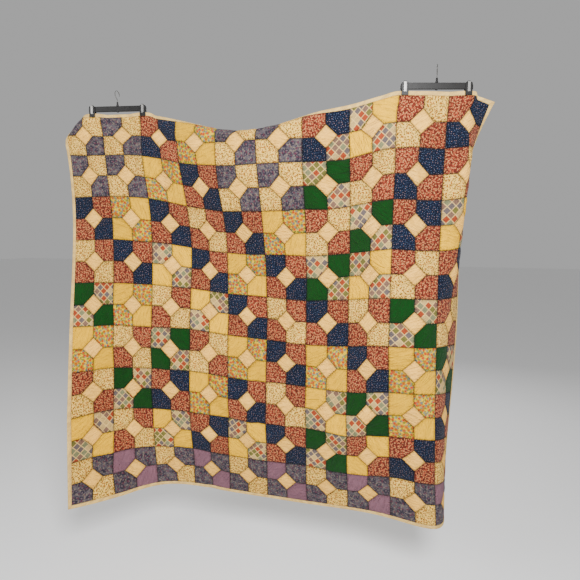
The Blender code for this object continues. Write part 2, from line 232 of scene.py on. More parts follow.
def small_folds() -> tuple[Fold, ...]:
    """The cloth's smaller folds: the fans below the clips, and soft ones that wander over the rest.

    Returns:
        The folds.
    """
    chance = np.random.default_rng(23)
    made = []
    for fan in DRAPE_LINES:
        for i in range(fan.count):
            share = i / (fan.count - 1)
            angle = math.radians(fan.first_degrees + (fan.last_degrees - fan.first_degrees) * share)
            length = fan.length * chance.uniform(*FAN_LENGTHS)
            start = fan.u + FAN_START * math.sin(angle), fan.v + FAN_START * math.cos(angle)
            end = fan.u + length * math.sin(angle), fan.v + length * math.cos(angle)
            made.append(Fold(*start, *end, fan.height * (1 if i % 2 else -0.8), fan.width))
    for _ in range(WANDERING_FOLDS):
        u, v = chance.uniform(*WANDER_ACROSS), chance.uniform(*WANDER_DOWN)
        angle = chance.normal(0.25 if u < 5 else -0.35, 0.5)
        length = chance.uniform(*WANDER_LENGTHS)
        height = chance.uniform(*WANDER_HEIGHTS) * chance.choice((-1, 1))
        across, down = length * math.sin(angle), length * math.cos(angle)
        made.append(Fold(u, v, u + across, v + down, height, chance.uniform(*WANDER_WIDTHS)))
    return tuple(made)


def spline(knots: Sequence[float], values: np.ndarray, at: np.ndarray) -> np.ndarray:
    """Reads a natural cubic spline.

    Args:
        knots: Where the values are.
        values: One row for each knot, and one column for each place, or a single column for all places.
        at: The places.

    Returns:
        One value for each place.
    """
    k = np.asarray(knots, float)
    step = np.diff(k)
    count = len(k)
    matrix = np.eye(count)
    for i in range(1, count - 1):
        matrix[i, i - 1 : i + 2] = step[i - 1], 2 * (step[i - 1] + step[i]), step[i]
    slope = np.diff(values, axis=0) / step[:, None]
    rhs = np.zeros_like(values)
    rhs[1:-1] = 6 * np.diff(slope, axis=0)
    bend = np.linalg.solve(matrix, rhs)
    inside = np.clip(at, k[0], k[-1])
    i = np.clip(np.searchsorted(k, inside, side="right") - 1, 0, count - 2)
    col = np.arange(len(at)) if values.shape[1] > 1 else 0
    h = step[i]
    before = k[i + 1] - inside
    after = inside - k[i]
    low = values[i, col] / h - bend[i, col] * h / 6
    high = values[i + 1, col] / h - bend[i + 1, col] * h / 6
    height = (bend[i, col] * before**3 + bend[i + 1, col] * after**3) / (6 * h) + low * before + high * after
    rate = (bend[i + 1, col] * after**2 - bend[i, col] * before**2) / (2 * h) - low + high
    return height + rate * (at - inside)


@dataclass(frozen=True)
class HangerAxes:
    """A hanger's own axes: along its bar, towards the front, and up, from its middle on the hook line."""

    origin: np.ndarray
    along: np.ndarray
    front: np.ndarray

    def at(self, x: float, y: float, z: float) -> np.ndarray:
        """The place x metres along the bar, y towards the front and z above the hook line."""
        return self.origin + self.along * x + self.front * y + np.array([0, 0, z])


Surface = Callable[[np.ndarray, np.ndarray], np.ndarray]


@dataclass
class HangingCloth:
    """The surface that every piece of the quilt is made on."""

    corner_reach: float = 0.69
    slack_reach: float = 0.42
    slack_middle: float = 4.75
    slack_half: float = 2.8
    turn_radius: float = 0.036
    grip_across: float = 0.09
    grip_down: float = 0.03
    grip_fade: float = 0.30
    edge: float = (RAW_EDGE + BINDING_EASE + BINDING_CLOTH) / BLOCK
    folds: tuple[Fold, ...] = FOLDS + small_folds()

    def column_surface(
        self, u: np.ndarray, v: np.ndarray, prefix: str, levels: Sequence[float]
    ) -> np.ndarray:
        """Reads one axis of the table as a smooth surface.

        Args:
            u: Blocks across.
            v: Blocks down.
            prefix: The start of the columns' names.
            levels: How many blocks down each column is.

        Returns:
            Metres, one for each place.
        """
        names = [name for name in HangLine._fields if name.startswith(prefix)]
        knots = [line.u for line in HANG_LINES]
        lines = np.array([[getattr(line, name) for name in names] for line in HANG_LINES]) * CM
        at_levels = np.array([spline(knots, lines[:, i : i + 1], u) for i in range(len(names))])
        return spline(levels, at_levels, v)

    def fold_height(self, u: np.ndarray, v: np.ndarray) -> np.ndarray:
        """The sum of all folds.

        Args:
            u: Blocks across.
            v: Blocks down.

        Returns:
            Metres towards the front, one for each place.
        """
        total = np.zeros_like(u)
        for fold in self.folds:
            along_u, along_v = fold.to_u - fold.from_u, fold.to_v - fold.from_v
            length = math.hypot(along_u, along_v)
            along = ((u - fold.from_u) * along_u + (v - fold.from_v) * along_v) / length**2
            across = ((u - fold.from_u) * along_v - (v - fold.from_v) * along_u) / length
            taper = np.sin(np.pi * np.clip(along, 0, 1)) ** 2
            total += fold.height * taper * np.exp(-((across / fold.width) ** 2))
        return total

    def table_point(self, u: np.ndarray, v: np.ndarray) -> np.ndarray:
        """The hanging cloth from the table and the folds alone.

        Args:
            u: Blocks across.
            v: Blocks down.

        Returns:
            One place a row.
        """
        x = self.column_surface(u, v, "side_", SIDE_LEVELS)
        y = self.column_surface(u, v, "back_", BACK_LEVELS)
        z = self.column_surface(u, v, "down_", DOWN_LEVELS)
        return np.stack([x, y - self.fold_height(u, v), z], axis=-1)

    def hanger_axes(self, clips: Sequence[float]) -> HangerAxes:
        """The axes of a hanger, turned to the cloth between its clips.

        Args:
            clips: The two places along the top edge that it grips.

        Returns:
            Its axes.
        """
        ends = self.table_point(np.array(clips), np.zeros(2))
        along = (ends[1] - ends[0]) * (1, 1, 0)
        along /= np.linalg.norm(along)
        side = math.copysign(HOOK_SIDE, ends[0][0])
        return HangerAxes(np.array([side, 0.0, 0.0]), along, np.array([along[1], -along[0], 0.0]))

    def fading(self, past: np.ndarray) -> np.ndarray:
        """One down to nought, smoothly, by how many blocks past the fade's start a place is."""
        t = np.clip(past / self.grip_fade, 0, 1)
        return 1 - t * t * (3 - 2 * t)

    def held_point(self, u: np.ndarray, v: np.ndarray) -> np.ndarray:
        """The cloth with its top edge drawn flat and plumb where each clip grips it.

        Args:
            u: Blocks across.
            v: Blocks down.

        Returns:
            One place a row.
        """
        point = self.table_point(u, v)
        for clips in (LEFT_CLIPS, RIGHT_CLIPS):
            axes = self.hanger_axes(clips)
            middle = axes.at(0, QUILT_THICK / 2, -BAR_DROP - BAR_HEIGHT / 2 - EDGE_DROP - RAW_EDGE)
            for clip, side in zip(clips, (-1, 1)):
                near = self.fading(np.abs(u - clip) - self.grip_across) * self.fading(v - self.grip_down)
                hold = near[:, None]
                reach = side * CLIP_SPACING / 2 + (u - clip) * BLOCK
                gripped = middle + reach[:, None] * axes.along - np.stack([0 * v, 0 * v, v * BLOCK], axis=-1)
                point = point * (1 - hold) + gripped * hold
        return point

    def front_normal(self, surface: Surface, u: np.ndarray, v: np.ndarray) -> np.ndarray:
        """The unit normal on the front of a surface, from its slopes.

        Args:
            surface: A method of this class that gives places.
            u: Blocks across.
            v: Blocks down.

        Returns:
            One normal a row.
        """
        tiny = 1e-3
        across = surface(u + tiny, v) - surface(u - tiny, v)
        down = surface(u, v + tiny) - surface(u, v - tiny)
        normal = np.cross(down, across)
        return normal / np.linalg.norm(normal, axis=-1, keepdims=True)

    def slack_line(self, u: np.ndarray) -> tuple[np.ndarray, np.ndarray]:
        """How far down the top edge is turned back between the hangers.

        Args:
            u: Blocks across.

        Returns:
            That line, and its slope.
        """
        reach = self.slack_reach + self.edge
        angle = np.clip((u - self.slack_middle) / self.slack_half, -1, 1) * math.pi / 2
        slope = -reach * np.sin(2 * angle) * math.pi / 2 / self.slack_half
        return reach * np.cos(angle) ** 2 - self.edge, slope

    def turned_point(self, u: np.ndarray, v: np.ndarray) -> np.ndarray:
        """The cloth's front with the slack top edge and the top left corner rolled over to the back.

        Args:
            u: Blocks across.
            v: Blocks down.

        Returns:
            One place a row.
        """
        line, slope = self.slack_line(u)
        corner = u < self.corner_reach + self.edge
        line = np.where(corner, self.corner_reach - u, line)
        slope = np.where(corner, -1.0, slope)
        steep = np.sqrt(1 + slope**2)
        past = np.maximum(line - v, 0) / steep
        foot_u = u - past * slope / steep
        foot_v = v + past / steep
        arc = past * BLOCK / self.turn_radius
        turn = np.minimum(arc, math.pi)
        advance = (np.sin(turn) - np.maximum(arc - math.pi, 0)) * self.turn_radius / BLOCK
        behind = (1 - np.cos(turn)) * self.turn_radius
        at_u = foot_u + advance * slope / steep
        at_v = foot_v - advance / steep
        return self.held_point(at_u, at_v) - self.front_normal(self.held_point, at_u, at_v) * behind[:, None]

    def point(self, u: np.ndarray, v: np.ndarray, depth: np.ndarray | float) -> np.ndarray:
        """Places on the quilt.

        Args:
            u: Blocks across.
            v: Blocks down.
            depth: Metres behind the front face.

        Returns:
            One place a row, after the three are stretched to one shape.
        """
        u, v, depth = (np.asarray(a, float).ravel() for a in np.broadcast_arrays(u, v, depth))
        return self.turned_point(u, v) - self.front_normal(self.turned_point, u, v) * depth[:, None]


class Fabric(Enum):
    """The cottons of the patchwork, by the letter that the piecing chart uses."""

    PAISLEY = "P"
    SPRIG = "K"
    NAVY = "N"
    RUST = "R"
    YELLOW = "Y"
    FLORAL = "F"
    GREEN = "G"
    HARLEQUIN = "D"
    TAN = "T"
    MAUVE = "M"
    PEACH = "C"


# Each pair is one block: the cloth of its top left and bottom right patches, then that of the other two.
# Every block's centre square is peach.
PIECING = (
    "PK PK RN YF PK PK RN DT RK RN",
    "PK PK YF NR PK PK DG RK RN RK",
    "NR FY NR KR NR YF RK DG RN DT",
    "KR NR DT NR YF NR DG DT RK RN",
    "GD YF KR TD NR KR NR KR GD RK",
    "YF KR DG RK YF NR YF NR YF GD",
    "RK GD RN YF NR KR TD GD YF RN",
    "TD KR TD RN DT NR GD RT RN RK",
    "KP MP KP MP KP MP KP MP KP MP",
)
# One block has an odd patch: (row, column, cell down, cell across)
ODD_PATCH = (0, 6, 1, 1)
ODD_FABRIC = Fabric.HARLEQUIN


class Graph:
    """Builds one node tree, a node at a time."""

    def __init__(self, tree: bpy.types.NodeTree) -> None:
        """Takes the tree that the nodes go into."""
        self.tree = tree

    def node(self, kind: str, **settings: object) -> bpy.types.Node:
        """Adds a node.

        Args:
            kind: The node's type.
            **settings: Its properties.

        Returns:
            The node.
        """
        made = self.tree.nodes.new(kind)
        for name, value in settings.items():
            setattr(made, name, value)
        return made

    def put(self, value: Given, socket: Socket) -> None:
        """Links an output to a socket, or sets the socket's constant.

        Args:
            value: An output, a number, a vector or a colour.
            socket: The input.
        """
        if isinstance(value, Socket):
            self.tree.links.new(value, socket)
        elif socket.type == "RGBA" and len(value) == 3:
            socket.default_value = (*value, 1)
        else:
            socket.default_value = value

    def math(self, operation: str, *values: Given) -> Socket:
        """A sum on numbers.

        Args:
            operation: The Math node's operation.
            *values: Its inputs in order.

        Returns:
            The result.
        """
        made = self.node("ShaderNodeMath", operation=operation)
        for value, socket in zip(values, made.inputs):
            self.put(value, socket)
        return made.outputs[0]

    def times(self, first: Given, *others: Given) -> Socket:
        """The product of some numbers.

        Args:
            first: The first number.
            *others: The rest.

        Returns:
            The product.
        """
        for other in others:
            first = self.math("MULTIPLY", first, other)
        return first

    def times_add(self, value: Given, factor: Given, extra: Given) -> Socket:
        """A number times a factor, and an extra added."""
        return self.math("MULTIPLY_ADD", value, factor, extra)

    def plus(self, value: Given, other: Given) -> Socket:
        """The sum of two numbers."""
        return self.math("ADD", value, other)

    def minus(self, value: Given, other: Given) -> Socket:
        """One number less another."""
        return self.math("SUBTRACT", value, other)

    def shared_by(self, value: Given, other: Given) -> Socket:
        """One number divided by another."""
        return self.math("DIVIDE", value, other)

    def vector(self, operation: str, *values: Given) -> Socket:
        """A sum on vectors.

        Args:
            operation: The Vector Math node's operation.
            *values: Its vector inputs in order, or for SCALE a vector and a number.

        Returns:
            The result: a number for LENGTH and DOT_PRODUCT, and otherwise a vector.
        """
        made = self.node("ShaderNodeVectorMath", operation=operation)
        self.put(values[0], made.inputs[0])
        if len(values) > 1:
            self.put(values[1], made.inputs["Scale" if operation == "SCALE" else 1])
        return made.outputs["Value" if operation in ("LENGTH", "DOT_PRODUCT") else "Vector"]

    def mix(self, share: Given, first: Given, second: Given, blend: str = "MIX") -> Socket:
        """Mixes two colours.

        Args:
            share: How much of the second.
            first: A colour.
            second: A colour.
            blend: The blend mode.

        Returns:
            The colour.
        """
        made = self.node("ShaderNodeMix", data_type="RGBA", blend_type=blend, clamp_factor=True)
        colours = [s for s in made.inputs if s.type == "RGBA"]
        self.put(share, made.inputs[0])
        self.put(first, colours[0])
        self.put(second, colours[1])
        return next(s for s in made.outputs if s.type == "RGBA")

    def smooth(self, value: Given, low: Given, high: Given) -> Socket:
        """A smooth step from 0 to 1.

        Args:
            value: The number to step on.
            low: Where it starts.
            high: Where it ends.

        Returns:
            The step.
        """
        made = self.node("ShaderNodeMapRange", interpolation_type="SMOOTHSTEP")
        for name, given in (("Value", value), ("From Min", low), ("From Max", high)):
            self.put(given, made.inputs[name])
        return made.outputs["Result"]

    def noise(
        self, place: Given, scale: float, detail: float = 2.0, warp: float = 0.0, dimensions: str = "2D"
    ) -> Socket:
        """A noise from 0 to 1.

        Args:
            place: Where to read it: a vector, or a number for one dimension.
            scale: Its frequency.
            detail: How many finer layers it has.
            warp: How much it is twisted.
            dimensions: 1D, 2D or 3D.

        Returns:
            The noise.
        """
        made = self.node("ShaderNodeTexNoise", noise_dimensions=dimensions)
        self.put(place, made.inputs["W" if dimensions == "1D" else "Vector"])
        for name, given in (("Scale", scale), ("Detail", detail), ("Distortion", warp)):
            self.put(given, made.inputs[name])
        return made.outputs[0]

    def parts(self, vector: Given) -> tuple[Socket, ...]:
        """Splits a vector.

        Args:
            vector: The vector.

        Returns:
            Its three numbers.
        """
        made = self.node("ShaderNodeSeparateXYZ")
        self.put(vector, made.inputs[0])
        return tuple(made.outputs)

    def joined(self, x: Given, y: Given, z: Given = 0.0) -> Socket:
        """Joins three numbers.

        Args:
            x: The first.
            y: The second.
            z: The third.

        Returns:
            The vector.
        """
        made = self.node("ShaderNodeCombineXYZ")
        for value, socket in zip((x, y, z), made.inputs):
            self.put(value, socket)
        return made.outputs[0]


class SharedEffect(Graph):
    """A shader node group that several finishes use."""

    def __init__(self, name: str, inputs: dict[str, str], outputs: dict[str, str]) -> None:
        """Makes an empty group.

        Args:
            name: The group's name.
            inputs: Each input's name and socket type.
            outputs: Each output's name and socket type.
        """
        super().__init__(bpy.data.node_groups.new(name, "ShaderNodeTree"))
        for way, sockets in (("INPUT", inputs), ("OUTPUT", outputs)):
            for title, kind in sockets.items():
                self.tree.interface.new_socket(name=title, in_out=way, socket_type=kind)
        self.inputs = self.node("NodeGroupInput").outputs
        self.outputs = self.node("NodeGroupOutput").inputs

    def used_in(self, graph: Graph, **values: Given) -> dict[str, Socket]:
        """Puts the group into another tree.

        Args:
            graph: The tree.
            **values: Inputs, by name with underscores for spaces.

        Returns:
            The group's outputs by name.
        """
        made = graph.node("ShaderNodeGroup", node_tree=self.tree)
        for title, value in values.items():
            graph.put(value, made.inputs[title.replace("_", " ")])
        return {socket.name: socket for socket in made.outputs}


VECTOR, NUMBER = "NodeSocketVector", "NodeSocketFloat"


def motif_effect() -> SharedEffect:
    """A scattered printed motif, from a round dot to a lobed flower or a bent leaf.

    Returns:
        The group. Place is in millimetres.
    """
    names = ("Spacing", "Scatter", "Size", "Petals", "Lobes", "Stretch", "Bend", "Seed")
    effect = SharedEffect(
        "scattered motif",
        {"Place": VECTOR, **{name: NUMBER for name in names}},
        {"Mask": NUMBER, "Heart": NUMBER, "Chance": NUMBER},
    )
    take = effect.inputs
    drift = effect.joined(take["Seed"], effect.times(take["Seed"], 1.7))
    moved = effect.vector("ADD", take["Place"], drift)
    spaced = effect.vector("SCALE", moved, effect.shared_by(1.0, take["Spacing"]))
    cells = effect.node("ShaderNodeTexVoronoi", voronoi_dimensions="2D", feature="F1")
    cells.inputs["Scale"].default_value = 1.0
    effect.put(spaced, cells.inputs["Vector"])
    effect.put(take["Scatter"], cells.inputs["Randomness"])
    from_heart = effect.vector("SUBTRACT", spaced, cells.outputs["Position"])
    offset = effect.vector("SCALE", from_heart, take["Spacing"])
    chance, turn, _ = effect.parts(cells.outputs["Color"])
    spin = effect.times(turn, 2 * math.pi)
    rotate = effect.node("ShaderNodeVectorRotate", rotation_type="Z_AXIS")
    effect.put(offset, rotate.inputs["Vector"])
    effect.put(spin, rotate.inputs["Angle"])
    x, y, _ = effect.parts(rotate.outputs[0])
    bent = effect.minus(y, effect.times(effect.times(x, x), take["Bend"]))
    long = effect.shared_by(x, take["Stretch"])
    radius = effect.vector("LENGTH", effect.joined(long, bent))
    angle = effect.math("ARCTAN2", bent, long)
    lobe = effect.math("COSINE", effect.times(angle, take["Petals"]))
    dip = effect.times(take["Lobes"], effect.times_add(lobe, -0.5, 0.5))
    size = effect.times(take["Size"], effect.times_add(chance, 0.5, 0.75))
    reach = effect.times(size, effect.minus(1.0, dip))
    soft = effect.times(size, 0.22)
    within = effect.minus(reach, radius)
    effect.put(effect.smooth(within, effect.times(soft, -1.0), soft), effect.outputs["Mask"])
    effect.put(effect.smooth(effect.shared_by(radius, size), 0.38, 0.22), effect.outputs["Heart"])
    effect.put(chance, effect.outputs["Chance"])
    return effect


def weave_effect() -> SharedEffect:
    """A plain cotton weave.

    Returns:
        The group. Place is in millimetres.
    """
    effect = SharedEffect(
        "cotton weave", {"Place": VECTOR, "Thread": NUMBER}, {"Height": NUMBER, "Shade": NUMBER}
    )
    place, thread = effect.inputs["Place"], effect.inputs["Thread"]
    x, y, _ = effect.parts(effect.vector("SCALE", place, effect.shared_by(math.pi, thread)))
    across, down = effect.math("SINE", x), effect.math("SINE", y)
    over = effect.times(across, down)
    slub = effect.noise(effect.vector("MULTIPLY", place, (0.12, 2.2, 1.0)), 1.0, 2.0)
    slub_down = effect.noise(effect.vector("MULTIPLY", place, (2.2, 0.12, 1.0)), 1.0, 2.0)
    streak = effect.plus(slub, slub_down)
    effect.put(effect.times_add(over, 0.5, effect.times(streak, 0.5)), effect.outputs["Height"])
    # Shade is lighter where Height rises: painted light at the thread crossings, and lighter along the slubs.
    shade = effect.times_add(effect.minus(streak, 1.0), 0.35, 1.0)
    effect.put(effect.times_add(over, 0.05, shade), effect.outputs["Shade"])
    return effect


# The first is how far the painted shade at the seams reaches, in millimetres; the next two are the puckers'
# reach and pitch.
SEAM_SHADE_FADE = 3.2
PUCKER_FADE = 11.0
PUCKER_PITCH = 8.0


def quilted_effect() -> SharedEffect:
    """What sewing does to a patch: painted shade in the trough along its seams, and the puckers that run in
    from them.

    Returns:
        The group. Cell runs from 0 to 1 over the patch, Cut is where its corner is cut off (2 for none).
    """
    effect = SharedEffect(
        "quilted patch",
        {"Cell": VECTOR, "Size": NUMBER, "Cut": NUMBER, "Seed": NUMBER},
        {"Seam Shade": NUMBER, "Pucker": NUMBER, "Crease": NUMBER},
    )
    take = effect.inputs
    p, q, _ = effect.parts(take["Cell"])
    spin = effect.node("ShaderNodeVectorRotate", rotation_type="Z_AXIS")
    effect.put(effect.vector("SCALE", take["Cell"], take["Size"]), spin.inputs["Vector"])
    effect.put(effect.times_add(take["Seed"], 0.013, 0.2), spin.inputs["Angle"])
    drawn = effect.vector("MULTIPLY", spin.outputs[0], (0.016, 0.085, 1.0))
    shifted = effect.vector("ADD", drawn, effect.joined(take["Seed"], take["Seed"]))
    crease = effect.noise(shifted, 1.0, 2.0, 0.5)
    line = effect.math("ABSOLUTE", effect.times_add(crease, 5.0, -2.5))
    effect.put(effect.minus(1.0, line), effect.outputs["Crease"])
    diagonal = effect.times(effect.minus(effect.minus(take["Cut"], p), q), HALF_ROOT)
    slant = effect.minus(p, q)
    nearest, total = None, None
    # Each side of the patch: how far away it is, the way along it, and where its own puckers are read.
    sides = (
        (p, q, 3.0),
        (effect.minus(1.0, p), q, 17.0),
        (q, p, 31.0),
        (effect.minus(1.0, q), p, 43.0),
        (diagonal, slant, 59.0),
    )
    for distance, along, number in sides:
        away = effect.times(distance, take["Size"])
        run = effect.times_add(along, effect.shared_by(take["Size"], PUCKER_PITCH), take["Seed"])
        wave = effect.noise(effect.plus(run, number), 1.0, 1.0, dimensions="1D")
        fade = effect.math("EXPONENT", effect.shared_by(away, -PUCKER_FADE))
        ridge = effect.times(effect.minus(wave, 0.5), fade)
        nearest = away if nearest is None else effect.math("SMOOTH_MIN", nearest, away, 2.0)
        total = ridge if total is None else effect.plus(total, ridge)
    # Painted shade: a mask that is 1 at the seams and fades away from them, for darkening the colour where
    # shade falls in the trough.
    painted_seam_shade = effect.math("EXPONENT", effect.shared_by(effect.math("MAXIMUM", nearest, 0.0), -SEAM_SHADE_FADE))
    effect.put(painted_seam_shade, effect.outputs["Seam Shade"])
    effect.put(total, effect.outputs["Pucker"])
    return effect


@dataclass(frozen=True)
class Motif:
    """One printed motif of a cloth, in millimetres."""

    colour: Colour
    spacing: float
    size: float
    petals: float = 0.0
    lobes: float = 0.0
    stretch: float = 1.0
    bend: float = 0.0
    scatter: float = 0.8
    seed: float = 0.0
    strength: float = 1.0
    other: Colour | None = None
    heart: Colour | None = None


@dataclass(frozen=True)
class Swirl:
    """Wandering bands of a second colour, such as a paisley's."""

    colour: Colour
    reach: float
    bands: float
    share: float
    strength: float = 1.0


@dataclass(frozen=True)
class Lattice:
    """Squares set on point, each in one of a few colours, with thin lines between them."""

    side: float
    colours: tuple[Colour, ...]
    line: Colour
    line_width: float


@dataclass(frozen=True)
class Cotton:
    """How one cloth of the patchwork looks."""

    fabric: Fabric
    ground: Colour
    mottle: Colour
    swirls: tuple[Swirl, ...] = ()
    motifs: tuple[Motif, ...] = ()
    lattice: Lattice | None = None
    roughness: float = 0.88
    creases: float = 0.4


COTTONS = (
    Cotton(
        Fabric.PAISLEY,
        dye(88, 82, 84),
        dye(70, 66, 70),
        swirls=(Swirl(dye(46, 42, 50), 30.0, 4.0, 0.34, 0.85),),
        motifs=(
            Motif(dye(120, 110, 98), 15.0, 2.2, stretch=2.6, bend=0.05, scatter=1.0, seed=13.0, strength=0.7),
            Motif(dye(36, 33, 42), 31.0, 10.5, petals=1.0, lobes=0.45, stretch=1.6, bend=0.02, seed=5.0,
                  strength=0.9, heart=dye(88, 78, 82)),
            Motif(dye(76, 44, 54), 23.0, 4.4, petals=3.0, lobes=0.5, stretch=1.5, bend=0.05, seed=47.0,
                  strength=0.85),
        ),
    ),
    Cotton(
        Fabric.SPRIG,
        dye(226, 194, 136),
        dye(212, 178, 120),
        motifs=(
            Motif(dye(92, 76, 34), 11.0, 2.0, stretch=2.8, bend=0.07, scatter=0.95, seed=3.0, strength=0.95,
                  other=dye(124, 70, 36)),
            Motif(dye(122, 66, 38), 12.5, 3.0, petals=4.0, lobes=0.6, scatter=0.9, seed=11.0, strength=0.95,
                  other=dye(78, 68, 36)),
            Motif(dye(112, 90, 50), 7.0, 1.1, scatter=1.0, seed=29.0, strength=0.8),
        ),
    ),
    Cotton(
        Fabric.NAVY,
        dye(13, 18, 34),
        dye(9, 12, 23),
        motifs=(
            Motif(dye(102, 112, 130), 10.5, 1.7, petals=4.0, lobes=0.5, scatter=0.75, seed=2.0, strength=0.9,
                  other=dye(134, 116, 116)),
            Motif(dye(52, 68, 94), 7.0, 1.0, scatter=1.0, seed=19.0, strength=0.8),
        ),
    ),
    Cotton(
        Fabric.RUST,
        dye(100, 47, 40),
        dye(80, 38, 32),
        motifs=(
            Motif(dye(62, 32, 26), 13.0, 2.8, stretch=2.2, bend=0.06, scatter=1.0, seed=23.0, strength=0.8),
            Motif(dye(192, 146, 114), 10.5, 1.8, stretch=2.4, bend=0.08, scatter=1.0, seed=37.0,
                  strength=0.7),
            Motif(dye(190, 128, 102), 14.5, 4.3, petals=5.0, lobes=0.55, scatter=0.8, seed=7.0, strength=0.8,
                  other=dye(176, 104, 84), heart=dye(112, 48, 38)),
        ),
    ),
    Cotton(Fabric.YELLOW, dye(218, 178, 4), dye(200, 159, 3), creases=0.7),
    Cotton(
        Fabric.FLORAL,
        dye(204, 180, 84),
        dye(186, 158, 60),
        motifs=(
            Motif(dye(86, 98, 60), 15.0, 4.8, stretch=1.8, bend=0.04, scatter=1.0, seed=9.0, strength=0.85),
            Motif(dye(198, 166, 112), 15.0, 3.4, petals=5.0, lobes=0.4, scatter=1.0, seed=53.0, strength=0.8),
            Motif(dye(114, 118, 112), 19.0, 6.8, petals=6.0, lobes=0.35, scatter=0.9, seed=41.0,
                  strength=0.85, other=dye(86, 96, 100)),
            Motif(dye(170, 74, 48), 21.0, 8.4, petals=5.0, lobes=0.38, scatter=0.8, seed=17.0, strength=0.9,
                  other=dye(160, 100, 62), heart=dye(136, 54, 42)),
        ),
    ),
    Cotton(Fabric.GREEN, dye(5, 56, 26), dye(4, 44, 20), creases=0.7),
    Cotton(
        Fabric.HARLEQUIN,
        dye(136, 112, 86),
        dye(116, 94, 72),
        lattice=Lattice(
            26.0,
            (
                dye(176, 154, 116),
                dye(96, 94, 62),
                dye(88, 82, 82),
                dye(132, 66, 52),
                dye(112, 114, 92),
                dye(108, 88, 78),
            ),
            dye(208, 182, 138),
            2.4,
        ),
    ),
    Cotton(Fabric.TAN, dye(230, 188, 108), dye(218, 174, 94), creases=0.8),
    Cotton(Fabric.MAUVE, dye(116, 88, 96), dye(98, 75, 83), creases=0.6),
    Cotton(Fabric.PEACH, dye(238, 196, 136), dye(228, 182, 120), creases=0.8),
)


